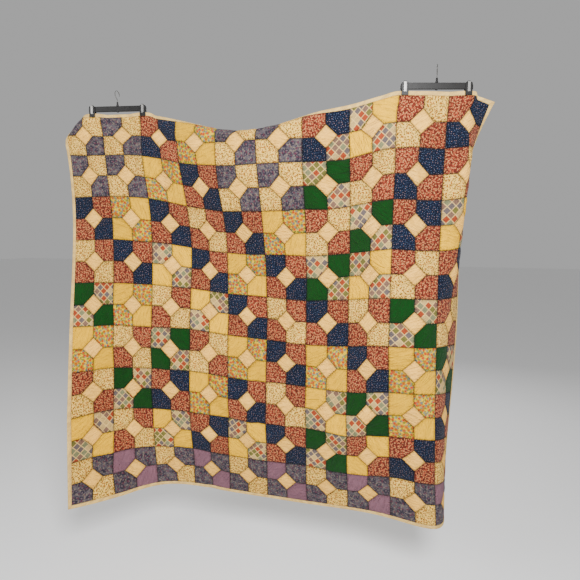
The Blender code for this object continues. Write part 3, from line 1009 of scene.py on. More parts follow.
@dataclass
class Finishes:
    """Makes and keeps the materials and the effects that they share."""

    motif: SharedEffect = field(default_factory=motif_effect)
    weave: SharedEffect = field(default_factory=weave_effect)
    quilted: SharedEffect = field(default_factory=quilted_effect)
    thread_pitch: float = 0.55
    weave_height: float = 0.06
    pucker_height: float = 11.0
    crease_height: float = 3.4
    # How much the painted shade darkens the colour at the seams.
    ditch_dark: float = 0.7
    cloth_sheen: float = 0.04
    cloth_gloss: float = 0.12

    def start(self, name: str) -> tuple[bpy.types.Material, Graph, bpy.types.Node]:
        """An empty Principled material.

        Args:
            name: Its name.

        Returns:
            The material, its graph and its shader.
        """
        made = bpy.data.materials.new(name)
        made.use_nodes = True
        return made, Graph(made.node_tree), made.node_tree.nodes["Principled BSDF"]

    def flat_place(self, graph: Graph) -> Socket:
        """Places on the flat cloth before it was cut, in millimetres along the warp and the weft."""
        place = graph.node("ShaderNodeUVMap", uv_map="flat").outputs[0]
        return graph.vector("SCALE", place, MM_A_METRE)

    def bump(self, graph: Graph, height: Socket, metres: float, shader: bpy.types.Node) -> None:
        """Gives a shader its bump.

        Args:
            graph: The material's graph.
            height: The relief.
            metres: How tall one unit of it is.
            shader: The Principled shader.
        """
        made = graph.node("ShaderNodeBump")
        made.inputs["Distance"].default_value = metres
        graph.put(height, made.inputs["Height"])
        graph.put(made.outputs[0], shader.inputs["Normal"])

    def shade(self, graph: Graph, colour: Socket, light: Socket, shader: bpy.types.Node) -> None:
        """Gives a shader its colour, multiplied by a grey that holds the cloth's own tone and its painted
        light and shade.
        """
        grey = graph.joined(light, light, light)
        graph.put(graph.mix(1.0, colour, grey, "MULTIPLY"), shader.inputs["Base Color"])

    def feel(self, shader: bpy.types.Node, **values: float) -> None:
        """Sets sockets of a shader, by name with underscores for spaces."""
        for title, value in values.items():
            shader.inputs[title.replace("_", " ")].default_value = value

    def add_lattice(self, graph: Graph, place: Socket, colour: Socket, lattice: Lattice) -> Socket:
        """Prints squares on point over a colour.

        Args:
            graph: The material's graph.
            place: Millimetres on the cloth.
            colour: The colour below.
            lattice: The print.

        Returns:
            The colour.
        """
        rotate = graph.node("ShaderNodeVectorRotate", rotation_type="Z_AXIS")
        rotate.inputs["Angle"].default_value = math.pi / 4
        graph.put(graph.vector("SCALE", place, 1 / lattice.side), rotate.inputs["Vector"])
        turned = rotate.outputs[0]
        square = graph.vector("FLOOR", turned)
        chance = graph.node("ShaderNodeTexWhiteNoise", noise_dimensions="2D")
        graph.put(square, chance.inputs["Vector"])
        ramp = graph.node("ShaderNodeValToRGB")
        ramp.color_ramp.interpolation = "CONSTANT"
        while len(ramp.color_ramp.elements) < len(lattice.colours):
            ramp.color_ramp.elements.new(1.0)
        for i, shade in enumerate(lattice.colours):
            ramp.color_ramp.elements[i].position = i / len(lattice.colours)
            ramp.color_ramp.elements[i].color = (*shade, 1)
        graph.put(chance.outputs["Value"], ramp.inputs[0])
        x, y, _ = graph.parts(graph.vector("FRACTION", turned))
        edges = [graph.math("PINGPONG", side, 0.5) for side in (x, y)]
        near = graph.times(graph.math("MINIMUM", *edges), lattice.side)
        line = graph.smooth(near, lattice.line_width, lattice.line_width * 0.5)
        printed = graph.mix(0.94, colour, ramp.outputs[0])
        return graph.mix(graph.times(line, 0.8), printed, lattice.line)

    def cotton(self, cotton: Cotton, cut: float, size: float) -> bpy.types.Material:
        """A pieced patch's cloth.

        Args:
            cotton: The cloth.
            cut: Where the patch's corner is cut off, in cells, or 2 for a whole square.
            size: The patch's side in millimetres.

        Returns:
            The material.
        """
        made, graph, shader = self.start(f"{cotton.fabric.name.lower()} cotton")
        place = self.flat_place(graph)
        cell = graph.node("ShaderNodeUVMap", uv_map="cell").outputs[0]
        tone = graph.node("ShaderNodeAttribute", attribute_name="tone").outputs["Fac"]
        cloudy = graph.noise(place, 1 / 42, 3.0)
        colour = graph.mix(cloudy, cotton.ground, cotton.mottle)
        for swirl in cotton.swirls:
            drift = graph.noise(place, 1 / swirl.reach, 1.0, 1.2)
            band = graph.math("FRACT", graph.times(drift, swirl.bands))
            edge = graph.math("PINGPONG", band, 0.5)
            mask = graph.smooth(edge, 0.5 - swirl.share * 0.5, 0.5 - swirl.share * 0.5 + 0.06)
            colour = graph.mix(graph.times(mask, swirl.strength), colour, swirl.colour)
        if cotton.lattice:
            colour = self.add_lattice(graph, place, colour, cotton.lattice)
        for motif in cotton.motifs:
            got = self.motif.used_in(
                graph, Place=place, Spacing=motif.spacing, Scatter=motif.scatter, Size=motif.size,
                Petals=motif.petals, Lobes=motif.lobes, Stretch=motif.stretch, Bend=motif.bend,
                Seed=motif.seed,
            )
            shade = motif.colour
            if motif.other:
                shade = graph.mix(graph.smooth(got["Chance"], 0.45, 0.6), shade, motif.other)
            if motif.heart:
                shade = graph.mix(got["Heart"], shade, motif.heart)
            colour = graph.mix(graph.times(got["Mask"], motif.strength), colour, shade)
        weave = self.weave.used_in(graph, Place=place, Thread=self.thread_pitch)
        seed = graph.times(tone, 97.0)
        sewn = self.quilted.used_in(graph, Cell=cell, Size=size, Cut=cut, Seed=seed)
        uneven = graph.times_add(tone, 0.16, 0.92)
        worn = graph.times_add(graph.noise(place, 1 / 6, 3.0), 0.16, 0.92)
        # Painted shade: the colour darkens towards the seams, where shade falls in the trough.
        painted_seam_shade = graph.times_add(sewn["Seam Shade"], -self.ditch_dark, 1.0)
        # Painted light and shade: lighter on the ridges of the puckers and creases and darker between them,
        # where the bump below raises and lowers the cloth.
        painted_relief_shade = graph.times_add(sewn["Pucker"], 0.5, graph.times_add(sewn["Crease"], 0.10, 0.94))
        self.shade(graph, colour, graph.times(weave["Shade"], uneven, worn, painted_seam_shade, painted_relief_shade), shader)
        creases = graph.times(sewn["Crease"], cotton.creases * self.crease_height)
        relief = graph.times_add(sewn["Pucker"], self.pucker_height, creases)
        self.bump(graph, graph.times_add(weave["Height"], self.weave_height, relief), MM, shader)
        self.feel(shader, Roughness=cotton.roughness, Specular_IOR_Level=self.cloth_gloss)
        self.feel(shader, Sheen_Weight=self.cloth_sheen, Sheen_Roughness=0.6)
        return made

    def plain_cloth(
        self, name: str, ground: Colour, mottle: Colour, thread: float, ribs: float
    ) -> bpy.types.Material:
        """A plain cloth that is not pieced, such as the binding or the backing.

        Args:
            name: The material's name.
            ground: Its colour.
            mottle: The colour that it varies to.
            thread: Its weave's pitch in millimetres.
            ribs: How far its small cross puckers stand, in millimetres.

        Returns:
            The material.
        """
        made, graph, shader = self.start(name)
        place = self.flat_place(graph)
        cloudy = graph.noise(place, 1 / 30, 4.0)
        weave = self.weave.used_in(graph, Place=place, Thread=thread)
        worn = graph.times_add(graph.noise(place, 1 / 5, 2.0), 0.1, 0.95)
        colour = graph.mix(graph.smooth(cloudy, 0.35, 0.65), ground, mottle)
        self.shade(graph, colour, graph.times(weave["Shade"], worn), shader)
        ripple = graph.noise(graph.vector("MULTIPLY", place, (0.16, 0.02, 1.0)), 1.0, 2.0)
        height = graph.times_add(ripple, ribs, graph.times(weave["Height"], 0.08))
        self.bump(graph, height, MM, shader)
        self.feel(shader, Roughness=0.9, Sheen_Weight=self.cloth_sheen, Specular_IOR_Level=self.cloth_gloss)
        return made

    def thread(self, name: str, colour: Colour) -> bpy.types.Material:
        """Sewing thread.

        Args:
            name: The material's name.
            colour: Its colour.

        Returns:
            The material.
        """
        made, graph, shader = self.start(name)
        place = graph.node("ShaderNodeTexCoord").outputs["Object"]
        fuzz = graph.noise(place, 900.0, 2.0, dimensions="3D")
        graph.put(graph.mix(fuzz, colour, tuple(c * 0.8 for c in colour)), shader.inputs["Base Color"])
        self.bump(graph, fuzz, 0.0001, shader)
        self.feel(shader, Roughness=0.7)
        return made

    def plastic(self) -> bpy.types.Material:
        """The hangers' black moulded plastic, scuffed a little.

        Returns:
            The material.
        """
        made, graph, shader = self.start("black moulded plastic")
        place = graph.node("ShaderNodeTexCoord").outputs["Object"]
        dust = graph.noise(place, 60.0, 5.0, dimensions="3D")
        scuff = graph.noise(graph.vector("MULTIPLY", place, (30.0, 30.0, 400.0)), 1.0, 3.0, dimensions="3D")
        marks = graph.smooth(scuff, 0.7, 0.85)
        black = graph.mix(graph.times(dust, 0.3), srgb(6, 5, 5), srgb(18, 14, 12))
        graph.put(black, shader.inputs["Base Color"])
        rough = graph.times_add(marks, 0.1, graph.times_add(dust, 0.12, 0.34))
        graph.put(rough, shader.inputs["Roughness"])
        self.feel(shader, Specular_IOR_Level=0.22)
        grain = graph.noise(place, 1800.0, 1.0, dimensions="3D")
        self.bump(graph, graph.times_add(marks, 0.4, grain), 0.00004, shader)
        return made

    def steel(self) -> bpy.types.Material:
        """The bright plated steel of the hooks and springs.

        Returns:
            The material.
        """
        made, graph, shader = self.start("bright plated steel")
        place = graph.node("ShaderNodeTexCoord").outputs["Object"]
        drawn = graph.vector("MULTIPLY", place, (900.0, 900.0, 30.0))
        brushed = graph.noise(drawn, 1.0, 3.0, dimensions="3D")
        tarnish = graph.noise(place, 45.0, 4.0, dimensions="3D")
        plate = graph.mix(graph.smooth(tarnish, 0.5, 0.8), srgb(120, 119, 117), srgb(84, 81, 77))
        graph.put(plate, shader.inputs["Base Color"])
        graph.put(graph.times_add(brushed, 0.15, 0.3), shader.inputs["Roughness"])
        self.feel(shader, Metallic=1.0)
        self.bump(graph, brushed, 0.00002, shader)
        return made


def new_object(name: str, data: bpy.types.ID) -> bpy.types.Object:
    """An object, linked to the scene.

    Args:
        name: Its name.
        data: What it holds: a mesh, a light or a camera.

    Returns:
        The object.
    """
    made = bpy.data.objects.new(name, data)
    bpy.context.scene.collection.objects.link(made)
    return made


def mesh_piece(
    name: str, points: np.ndarray, faces: np.ndarray, finish: bpy.types.Material
) -> bpy.types.Object:
    """A smooth-shaded piece from points and four-cornered faces.

    Args:
        name: Its name.
        points: One place a row.
        faces: Four point numbers a row.
        finish: Its material.

    Returns:
        The piece, linked to the scene.
    """
    mesh = bpy.data.meshes.new(name)
    mesh.vertices.add(len(points))
    mesh.vertices.foreach_set("co", points.astype(np.float32).ravel())
    mesh.loops.add(faces.size)
    mesh.loops.foreach_set("vertex_index", faces.astype(np.int32).ravel())
    mesh.polygons.add(len(faces))
    mesh.polygons.foreach_set("loop_start", np.arange(0, faces.size, 4, dtype=np.int32))
    mesh.update(calc_edges=True)
    mesh.validate()
    mesh.shade_smooth()
    mesh.materials.append(finish)
    return new_object(name, mesh)


def add_uv(piece: bpy.types.Object, name: str, coordinates: np.ndarray) -> None:
    """Gives a piece a UV map from one coordinate pair for each of its points.

    Args:
        piece: The piece.
        name: The map's name.
        coordinates: Two numbers a row.
    """
    mesh = piece.data
    corners = np.empty(len(mesh.loops), dtype=np.int32)
    mesh.loops.foreach_get("vertex_index", corners)
    layer = mesh.uv_layers.new(name=name)
    layer.data.foreach_set("uv", coordinates[corners].astype(np.float32).ravel())


def grid_faces(rows: int, columns: int) -> np.ndarray:
    """The faces of a grid of points.

    Args:
        rows: How many rows of points it has.
        columns: How many points there are in a row.

    Returns:
        Four point numbers a row, facing the viewer where rows run down and columns to the right.
    """
    r, c = np.meshgrid(np.arange(rows - 1), np.arange(columns - 1), indexing="ij")
    a = (r * columns + c).ravel()
    return np.stack([a + columns, a + columns + 1, a + 1, a], axis=-1)


def rim_numbers(rows: int, columns: int) -> np.ndarray:
    """The point numbers around a grid's edge, in order.

    Args:
        rows: How many rows of points it has.
        columns: How many points there are in a row.

    Returns:
        The numbers, once round.
    """
    top = np.arange(columns)
    right = np.arange(1, rows) * columns + columns - 1
    bottom = (rows - 1) * columns + np.arange(columns - 2, -1, -1)
    left = np.arange(rows - 2, 0, -1) * columns
    return np.concatenate([top, right, bottom, left])


@dataclass
class PatchMesher:
    """Gathers the patches of one cloth into one mesh."""

    cloth: HangingCloth
    puff: float = 2.9 * MM
    ditch_depth: float = 2.0 * MM
    ease: float = 9.0 * MM
    skirt: float = 1.1 * MM
    fold: float = 1.5 * MM
    places: list[np.ndarray] = field(default_factory=list)
    faces: list[np.ndarray] = field(default_factory=list)
    flats: list[np.ndarray] = field(default_factory=list)
    cells: list[np.ndarray] = field(default_factory=list)
    tones: list[np.ndarray] = field(default_factory=list)
    count: int = 0
    patches: int = 0

    def add(
        self, uv: np.ndarray, cell: np.ndarray, edge: np.ndarray, size: float, chance: np.random.Generator
    ) -> None:
        """Adds one patch.

        Args:
            uv: Block coordinates on a grid of points: rows, columns, 2.
            cell: The same points from 0 to 1 over the patch.
            edge: Distances in metres from each side of the patch: rows, columns, sides.
            size: The patch's side in metres.
            chance: Where this patch's variation comes from.
        """
        rows, columns = uv.shape[:2]
        full = np.prod(1 - np.exp(-np.maximum(edge, 0) / self.ease), axis=-1)
        slant = chance.uniform(0.25, 0.75) * math.pi + (math.pi / 2) * chance.integers(0, 2)
        across = (cell[..., 0] * math.cos(slant) + cell[..., 1] * math.sin(slant)) * size
        along = (cell[..., 1] * math.cos(slant) - cell[..., 0] * math.sin(slant)) * size
        # Two sets of soft wrinkles, coarse and fine.
        phase = across / chance.uniform(0.008, 0.012) + chance.uniform(0, 6)
        waves = np.sin(phase + 1.2 * np.sin(along / 0.021))
        waves += 0.6 * np.sin(across / 0.0062 + along / 0.034 + chance.uniform(0, 6))
        wrinkle = self.fold * chance.uniform(0.4, 1.0) * waves * full * 0.8
        height = self.puff * full - self.ditch_depth + wrinkle
        low = uv[..., 0].ravel(), uv[..., 1].ravel(), -height.ravel()
        rim = rim_numbers(rows, columns)
        skirt = low[0][rim], low[1][rim], low[2][rim] + self.skirt
        self.places.append(np.stack([np.concatenate(pair) for pair in zip(low, skirt)], axis=-1))
        below = rows * columns + np.arange(len(rim))
        walls = np.stack([rim, np.roll(rim, -1), np.roll(below, -1), below], axis=-1)
        self.faces.append(np.concatenate([grid_faces(rows, columns), walls]) + self.count)
        turn = chance.integers(0, 4) * math.pi / 2 + chance.normal(0, 0.05)
        spin = np.array([[math.cos(turn), -math.sin(turn)], [math.sin(turn), math.cos(turn)]])
        flat = (cell.reshape(-1, 2) * size) @ spin.T + chance.uniform(-3, 3, 2)
        self.flats.append(np.concatenate([flat, flat[rim]]))
        self.cells.append(np.concatenate([cell.reshape(-1, 2), cell.reshape(-1, 2)[rim]]))
        self.tones.append(np.full(len(flat) + len(rim), chance.uniform(0, 1)))
        self.count += len(flat) + len(rim)
        self.patches += 1

    def finish(self, name: str, material: bpy.types.Material) -> bpy.types.Object:
        """Makes the piece from every patch added.

        Args:
            name: Its name.
            material: Its material.

        Returns:
            The piece.
        """
        u, v, depth = np.concatenate(self.places).T
        piece = mesh_piece(name, self.cloth.point(u, v, depth), np.concatenate(self.faces), material)
        add_uv(piece, "flat", np.concatenate(self.flats))
        add_uv(piece, "cell", np.concatenate(self.cells))
        tone = piece.data.attributes.new("tone", "FLOAT", "POINT")
        tone.data.foreach_set("value", np.concatenate(self.tones).astype(np.float32))
        return piece


@dataclass
class Patchwork:
    """The pieced front: every patch, gathered by cloth."""

    cloth: HangingCloth
    finishes: Finishes
    centre_reach: float = 0.48
    rows_above_cut: int = 9
    rows_beside_cut: int = 8
    columns: int = 17
    centre_points: int = 13
    seam_gap: float = 0.4 * GAP
    out_of_true: float = 0.006
    under_binding: float = 0.03

    def lattice(self) -> np.ndarray:
        """The seam crossings at half-block steps, each a little out of true as hand piecing is.

        Returns:
            Block coordinates: rows, columns, 2.
        """
        chance = np.random.default_rng(41)
        down, across = (np.arange(2 * blocks + 1) / 2 for blocks in (BLOCKS_DOWN, BLOCKS_ACROSS))
        v, u = np.meshgrid(down, across, indexing="ij")
        out = self.under_binding
        shift = chance.normal(0, self.out_of_true, (*u.shape, 2))
        shift[:, 0, 0], shift[:, -1, 0] = -out, out
        shift[0, :, 1], shift[-1, :, 1] = -out, out
        return np.stack([u, v], axis=-1) + shift

    def tie_patch(self, corners: np.ndarray, mesher: PatchMesher, chance: np.random.Generator) -> None:
        """Adds one of a block's four corner patches, with the corner at the block's centre cut off.

        Args:
            corners: Block coordinates of its outer corner, its two neighbours and the block's centre.
            mesher: What gathers its cloth.
            chance: Where its variation comes from.
        """
        outer, beside, below, centre = corners
        keep = 1 - self.centre_reach
        cut_beside = centre + (beside - centre) * self.centre_reach
        cut_below = centre + (below - centre) * self.centre_reach
        upper = np.linspace(0, keep, self.rows_above_cut)
        lower = np.linspace(keep, 1, self.rows_beside_cut)[1:]
        q = np.concatenate([upper, lower])
        start = outer + (below - outer) * q[:, None]
        share = np.clip((q - keep) / self.centre_reach, 0, 1)[:, None]
        along_cut = cut_beside + (cut_below - cut_beside) * share
        end = np.where(share > 0, along_cut, beside + (centre - beside) * q[:, None])
        p_end = np.where(q > keep, 1 + keep - q, 1.0)
        s = np.linspace(0, 1, self.columns)
        uv = start[:, None] * (1 - s[None, :, None]) + end[:, None] * s[None, :, None]
        uv = uv + (uv.mean(axis=(0, 1)) - uv) * (self.seam_gap / CELL)
        p = p_end[:, None] * s
        q = np.broadcast_to(q[:, None], p.shape)
        sides = np.stack([p, q, 1 - p, 1 - q, (1 + keep - p - q) * HALF_ROOT], axis=-1) * CELL
        if np.cross(beside - outer, below - outer) < 0:
            uv, p, q, sides = uv[:, ::-1], p[:, ::-1], q[:, ::-1], sides[:, ::-1]
        mesher.add(uv, np.stack([p, q], axis=-1), sides, CELL, chance)

    def centre_patch(self, corners: np.ndarray, mesher: PatchMesher, chance: np.random.Generator) -> None:
        """Adds a block's centre square, set on point.

        Args:
            corners: Block coordinates of its top, right, bottom and left corners.
            mesher: What gathers its cloth.
            chance: Where its variation comes from.
        """
        top, right, bottom, left = corners
        s = np.linspace(0, 1, self.centre_points)
        t, s = np.meshgrid(s, s, indexing="ij")
        t, s = t[..., None], s[..., None]
        uv = (top * (1 - s) + right * s) * (1 - t) + (left * (1 - s) + bottom * s) * t
        size = self.centre_reach * CELL * math.sqrt(2)
        uv = uv + (uv.mean(axis=(0, 1)) - uv) * (self.seam_gap / size)
        sides = np.concatenate([s, t, 1 - s, 1 - t], axis=-1) * size
        mesher.add(uv, np.concatenate([s, t], axis=-1), sides, size, chance)

    def build(self) -> None:
        """Makes one piece for each cloth."""
        chance = np.random.default_rng(7)
        crossings = self.lattice()
        meshers = {fabric: PatchMesher(self.cloth) for fabric in Fabric}
        for row, blocks in enumerate(PIECING):
            for column, pair in enumerate(blocks.split()):
                middle = crossings[2 * row + 1, 2 * column + 1]
                for down in (0, 1):
                    for across in (0, 1):
                        fabric = Fabric(pair[0] if down == across else pair[1])
                        if (row, column, down, across) == ODD_PATCH:
                            fabric = ODD_FABRIC
                        corners = np.array([
                            crossings[2 * row + 2 * down, 2 * column + 2 * across],
                            crossings[2 * row + 2 * down, 2 * column + 1],
                            crossings[2 * row + 1, 2 * column + 2 * across],
                            middle,
                        ])
                        self.tie_patch(corners, meshers[fabric], chance)
                ends = np.array([
                    crossings[2 * row, 2 * column + 1],
                    crossings[2 * row + 1, 2 * column + 2],
                    crossings[2 * row + 2, 2 * column + 1],
                    crossings[2 * row + 1, 2 * column],
                ])
                self.centre_patch(middle + (ends - middle) * self.centre_reach, meshers[Fabric.PEACH], chance)
        for cotton in COTTONS:
            centre = cotton.fabric is Fabric.PEACH
            side = self.centre_reach * CELL * math.sqrt(2) if centre else CELL
            material = self.finishes.cotton(cotton, 2.0 if centre else 2 - self.centre_reach, side / MM)
            mesher = meshers[cotton.fabric]
            piece = mesher.finish(f"patches_{cotton.fabric.name.lower()}", material)
            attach(piece, "root")
            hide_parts("quilt_top")
            log.info("%s: %d patches", piece.name, mesher.patches)


@dataclass
class Backing:
    """The plain cloth on the back, dimpled where the seams are quilted down."""

    cloth: HangingCloth
    finishes: Finishes
    steps: int = 7
    puff: float = 1.6 * MM
    dimple_reach: float = 10 * MM
    rim_reach: float = 12 * MM
    inner_cloth: tuple[float, float] = (3.0, 0.0)

    def lines(self, blocks: int) -> np.ndarray:
        """Where the lines of points run over so many blocks, with one more under each binding."""
        return np.concatenate([[-RIM], np.linspace(0, blocks, 2 * blocks * self.steps + 1), [blocks + RIM]])

    def build(self) -> None:
        """Makes the piece."""
        v, u = np.meshgrid(self.lines(BLOCKS_DOWN), self.lines(BLOCKS_ACROSS), indexing="ij")
        seam = np.minimum(np.abs(u * 2 - np.round(u * 2)), np.abs(v * 2 - np.round(v * 2))) * CELL
        inside = np.minimum(np.minimum(u, BLOCKS_ACROSS - u), np.minimum(v, BLOCKS_DOWN - v)) * BLOCK
        full = (1 - np.exp(-seam / self.dimple_reach)) * np.clip(inside / self.rim_reach, 0, 1)
        depths = np.stack([np.full(u.shape, QUILT_THICK - BACKING_THICK), QUILT_THICK + self.puff * full])
        rows, columns = u.shape
        places = self.cloth.point(np.stack([u, u]), np.stack([v, v]), depths)
        rim = rim_numbers(rows, columns)
        behind = rows * columns
        faces = grid_faces(rows, columns)
        walls = np.stack([rim, np.roll(rim, -1), behind + np.roll(rim, -1), behind + rim], axis=-1)
        faces = np.concatenate([faces, faces[:, ::-1] + behind, walls])
        pale, paler = srgb(217, 207, 190), srgb(222, 212, 196)
        material = self.finishes.plain_cloth("unbleached cotton", paler, pale, thread=0.7, ribs=0.3)
        piece = mesh_piece("quilt_backing_cloth", places, faces, material)
        flat = np.stack([u, v], axis=-1).reshape(-1, 2) * BLOCK
        add_uv(piece, "flat", np.concatenate([flat, flat + self.inner_cloth]))
        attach(piece, "root")
        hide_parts("quilt_backing")


@dataclass
class Binding:
    """A strip of tan cloth folded over one raw edge, with mitred ends and a row of stitches."""

    cloth: HangingCloth
    edge: str
    material: bpy.types.Material
    pitch: float = 0.008
    mitre_gap: float = 0.0015
    ripple: float = 0.35 * MM
    ripple_pitch: float = 0.0047
    ripple_wander: float = 0.019
    ripple_swell: float = 0.11
    stitch_step: float = 0.004
    stitch_inset: float = 1.8 * MM
    stitch_proud: float = 1.62 * MM
    stitched_part: tuple[float, float] = (0.004, 0.996)

    @property
    def level(self) -> bool:
        """Whether the strip runs across the quilt."""
        return self.edge in ("top", "bottom")

    @property
    def length(self) -> float:
        """How long the patchwork is along the strip, in metres."""
        return (BLOCKS_ACROSS if self.level else BLOCKS_DOWN) * BLOCK

    def section(self) -> np.ndarray:
        """The folded strip's outline, round and slightly full at its fold.

        Returns:
            Metres in from the raw edge, and metres behind the front face, one pair a row.
        """
        near, far = -0.5 * MM, QUILT_THICK + 0.7 * MM
        outer = [(BINDING_WIDTH, near - 0.2 * MM), (BINDING_WIDTH - 0.5 * MM, near - BINDING_CLOTH)]
        outer += [(BINDING_WIDTH * 0.6, near - 1.35 * MM), (BINDING_WIDTH * 0.25, near - 1.3 * MM)]
        middle, half = (near + far) / 2, (far - near) / 2 + BINDING_CLOTH
        for i in range(7):
            angle = math.pi * (i / 6) - math.pi / 2
            outer.append((-1.9 * MM * math.cos(angle) + 0.4 * MM, middle + half * math.sin(angle)))
        outer += [(BINDING_WIDTH * 0.5, far + 1.2 * MM), (BINDING_WIDTH - 0.5 * MM, far + BINDING_CLOTH)]
        outer += [(BINDING_WIDTH, far + 0.2 * MM), (BINDING_WIDTH - 0.4 * MM, far)]
        inner = [(-0.5 * MM, far), (-0.5 * MM, near), (BINDING_WIDTH - 0.4 * MM, near)]
        return np.array(outer + inner)

    def strip_place(self, s: np.ndarray, into: np.ndarray, depth: np.ndarray) -> np.ndarray:
        """Places on the strip.

        Args:
            s: From 0 to 1 along it.
            into: Metres in from the raw edge.
            depth: Metres behind the front face.

        Returns:
            One place a row.
        """
        last, end = (BLOCKS_ACROSS, BLOCKS_DOWN) if self.level else (BLOCKS_DOWN, BLOCKS_ACROSS)
        near = into / BLOCK - RIM + self.mitre_gap
        run = near + s * (last - 2 * near)
        across = into / BLOCK - RIM if self.edge in ("top", "left") else end + RIM - into / BLOCK
        return self.cloth.point(*((run, across) if self.level else (across, run)), depth)

    def build(self) -> None:
        """Makes the strip."""
        length, section = self.length, self.section()
        count, n = round(length / self.pitch), len(section)
        s, j = np.meshgrid(np.linspace(0, 1, count + 1), np.arange(n), indexing="ij")
        wander = 2 * np.sin(s * length / self.ripple_wander)
        ripple = self.ripple * np.sin(s * length / self.ripple_pitch + wander)
        ripple *= np.sin(s * length / self.ripple_swell)
        # Only the full front and the fold ripple.
        bulge = np.where((j > 1) & (j < 11), ripple, 0.0)
        points = self.strip_place(s.ravel(), section[j.ravel(), 0], (section[j.ravel(), 1] - bulge.ravel()))
        a = (np.arange(count)[:, None] * n + np.arange(n)[None, :]).ravel()
        b = (np.arange(count)[:, None] * n + (np.arange(n)[None, :] + 1) % n).ravel()
        faces = np.stack([a, b, b + n, a + n], axis=-1)
        if self.edge in ("bottom", "left"):
            faces = faces[:, ::-1]
        piece = mesh_piece(f"binding_{self.edge}_cloth", points, faces, self.material)
        round_strip = np.concatenate([[0], np.cumsum(np.linalg.norm(np.diff(section, axis=0), axis=1))])
        add_uv(piece, "flat", np.stack([s.ravel() * length, round_strip[j.ravel()]], axis=-1))
        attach(piece, "root")
        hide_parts(f"binding_{self.edge}")

    def stitch_line(self) -> np.ndarray:
        """The line that the strip is sewn down along, a little in front of it.

        Returns:
            One place a row.
        """
        s = np.linspace(*self.stitched_part, round(self.length / self.stitch_step))
        into = np.full(len(s), BINDING_WIDTH - self.stitch_inset)
        return self.strip_place(s, into, np.full(len(s), -self.stitch_proud))


@dataclass
class StitchRows:
    """Rows of small stitches along lines, set out by Geometry Nodes."""

    name: str
    pitch: float
    length: float
    radius: float
    material: bpy.types.Material

    def nodes(self) -> bpy.types.NodeTree:
        """The node tree that lays one stitch at each step of each line.

        Returns:
            The tree.
        """
        tree = bpy.data.node_groups.new(f"{self.name} rows", "GeometryNodeTree")
        tree.interface.new_socket(name="Geometry", in_out="INPUT", socket_type="NodeSocketGeometry")
        tree.interface.new_socket(name="Geometry", in_out="OUTPUT", socket_type="NodeSocketGeometry")
        graph = Graph(tree)
        start, end = graph.node("NodeGroupInput"), graph.node("NodeGroupOutput")
        curve = graph.node("GeometryNodeMeshToCurve")
        points = graph.node("GeometryNodeCurveToPoints", mode="LENGTH")
        points.inputs["Length"].default_value = self.pitch
        stitch = graph.node("GeometryNodeMeshCylinder")
        sizes = {"Vertices": 5, "Radius": self.radius, "Depth": self.length, "Side Segments": 1}
        for title, value in sizes.items():
            stitch.inputs[title].default_value = value
        place = graph.node("GeometryNodeInstanceOnPoints")
        real = graph.node("GeometryNodeRealizeInstances")
        coat = graph.node("GeometryNodeSetMaterial")
        coat.inputs["Material"].default_value = self.material
        for output, socket in (
            (start.outputs[0], curve.inputs[0]),
            (curve.outputs[0], points.inputs[0]),
            (points.outputs["Points"], place.inputs["Points"]),
            (points.outputs["Rotation"], place.inputs["Rotation"]),
            (stitch.outputs["Mesh"], place.inputs["Instance"]),
            (place.outputs[0], real.inputs[0]),
            (real.outputs[0], coat.inputs[0]),
            (coat.outputs[0], end.inputs[0]),
        ):
            graph.put(output, socket)
        return tree

    def build(self, lines: Sequence[np.ndarray], slot: str) -> None:
        """Makes the piece.

        Args:
            lines: Each line's places in order.
            slot: The material slot meant for the thread; not used.
        """
        points = np.concatenate(lines)
        starts = np.cumsum([0] + [len(line) for line in lines])
        edges = [(i, i + 1) for a, b in zip(starts, starts[1:]) for i in range(a, b - 1)]
        paths = bpy.data.meshes.new(f"{self.name} paths")
        paths.from_pydata(points.tolist(), edges, [])
        made = new_object(self.name, paths)
        rows = made.modifiers.new("stitches", "NODES")
        rows.node_group = self.nodes()
        evaluated = made.evaluated_get(bpy.context.evaluated_depsgraph_get())
        made_mesh = bpy.data.meshes.new_from_object(evaluated)
        made.modifiers.remove(rows)
        made.data = made_mesh
        made_mesh.shade_smooth()
        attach(made, "root")
        log.info("%s: %d faces", made.name, len(made_mesh.polygons))


@dataclass
class Quilt:
    """The whole quilt: patchwork, backing, bindings and stitches."""

    cloth: HangingCloth
    finishes: Finishes

    def build(self) -> None:
        """Makes every piece of the quilt."""
        Patchwork(self.cloth, self.finishes).build()
        Backing(self.cloth, self.finishes).build()
        light, dark = dye(212, 186, 138), dye(190, 164, 122)
        tan = self.finishes.plain_cloth("tan binding cotton", light, dark, thread=0.6, ribs=1.6)
        strips = [Binding(self.cloth, edge, tan) for edge in ("top", "bottom", "left", "right")]
        for strip in strips:
            strip.build()
        thread = self.finishes.thread("tan thread", srgb(176, 146, 100))
        sewing = StitchRows("binding_stitches", 4.2 * MM, length=2.8 * MM, radius=0.35 * MM, material=thread)
        sewing.build([strip.stitch_line() for strip in strips], "binding_cotton")


@dataclass
class Hangers:
    """The two clip hangers, whose shapes come finished and take their looks here."""

    finishes: Finishes

    def dress(self) -> None:
        """Gives each hanger part its finish."""
        plastic, steel = self.finishes.plastic(), self.finishes.steel()
        for name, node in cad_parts.items():
            if not name.startswith(("left_", "right_")):
                continue
            finish = steel if name.endswith(("hook", "spring")) else plastic
            for slot in node.material_slots:
                slot.material = finish


class Light(NamedTuple):
    """A soft square light: where it is and points, its side in metres and its power in watts."""

    name: str
    place: tuple[float, float, float]
    aim: tuple[float, float, float]
    size: float
    watts: float


LIGHTS = (
    Light("key", (1.2, -2.6, 0.35), (0, 0, -0.95), 0.9, 185),
    Light("fill", (-2.2, -2.8, 0.3), (-0.4, 0, -1), 1.4, 60),
    Light("back", (0.4, 3.6, 0.8), (0, 0, -1), 2.4, 70),
)


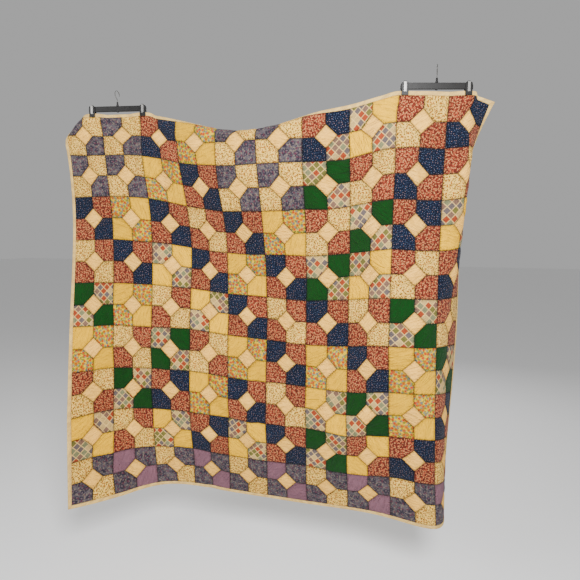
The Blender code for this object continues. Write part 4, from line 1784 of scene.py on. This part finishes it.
@dataclass
class Studio:
    """The floor, the light and the camera."""

    lens: float = 30.0
    sensor: float = 36.0
    floor_level: float = -2.5
    floor_reach: float = 30.0
    daylight: float = 0.42
    place: tuple[float, float, float] = (0.733, -2.219, -0.728)
    yaw: float = -15.06
    pitch: float = -6.2
    roll: float = 0.35

    def add_camera(self) -> None:
        """Adds the camera."""
        data = bpy.data.cameras.new("camera")
        data.lens = self.lens
        data.sensor_width = self.sensor
        made = new_object("camera", data)
        yaw, pitch, roll = (math.radians(a) for a in (self.yaw, self.pitch, self.roll))
        turn = Matrix.Rotation(-yaw, 4, "Z") @ Matrix.Rotation(math.pi / 2 + pitch, 4, "X")
        made.matrix_world = Matrix.Translation(self.place) @ turn @ Matrix.Rotation(roll, 4, "Z")
        bpy.context.scene.camera = made

    def add_floor(self) -> None:
        """Adds a plain pale floor under the quilt."""
        mesh = bpy.data.meshes.new("floor")
        far = self.floor_reach
        corners = [(x, y, self.floor_level) for x, y in ((-far, -far), (far, -far), (far, far), (-far, far))]
        mesh.from_pydata(corners, [], [(0, 1, 2, 3)])
        made = new_object("floor", mesh)
        finish = bpy.data.materials.new("pale floor")
        finish.use_nodes = True
        shader = finish.node_tree.nodes["Principled BSDF"]
        shader.inputs["Base Color"].default_value = (0.9, 0.9, 0.9, 1)
        shader.inputs["Roughness"].default_value = 0.9
        mesh.materials.append(finish)

    def add_light(self, light: Light) -> None:
        """Adds a soft light.

        Args:
            light: The light.
        """
        data = bpy.data.lights.new(light.name, "AREA")
        data.shape = "SQUARE"
        data.size = light.size
        data.energy = light.watts
        way = np.array(light.aim, float) - np.array(light.place, float)
        way /= np.linalg.norm(way)
        side = np.cross(way, (0, 0, 1))
        side /= np.linalg.norm(side)
        up = np.cross(side, way)
        rows = [(side[i], up[i], -way[i], light.place[i]) for i in range(3)]
        new_object(light.name, data).matrix_world = Matrix(rows + [(0, 0, 0, 1)])

    def build(self) -> None:
        """Makes the studio."""
        self.add_floor()
        for light in LIGHTS:
            self.add_light(light)
        world = bpy.data.worlds.new("studio")
        world.use_nodes = True
        world.node_tree.nodes["Background"].inputs["Color"].default_value = (1, 1, 1, 1)
        world.node_tree.nodes["Background"].inputs["Strength"].default_value = self.daylight
        bpy.context.scene.world = world


def main() -> None:
    """Builds the dressed quilt in its studio."""
    studio = Studio()
    studio.add_camera()
    finishes = Finishes()
    Quilt(HangingCloth(), finishes).build()
    Hangers(finishes).dress()
    studio.build()


if __name__ == "__main__":
    main()
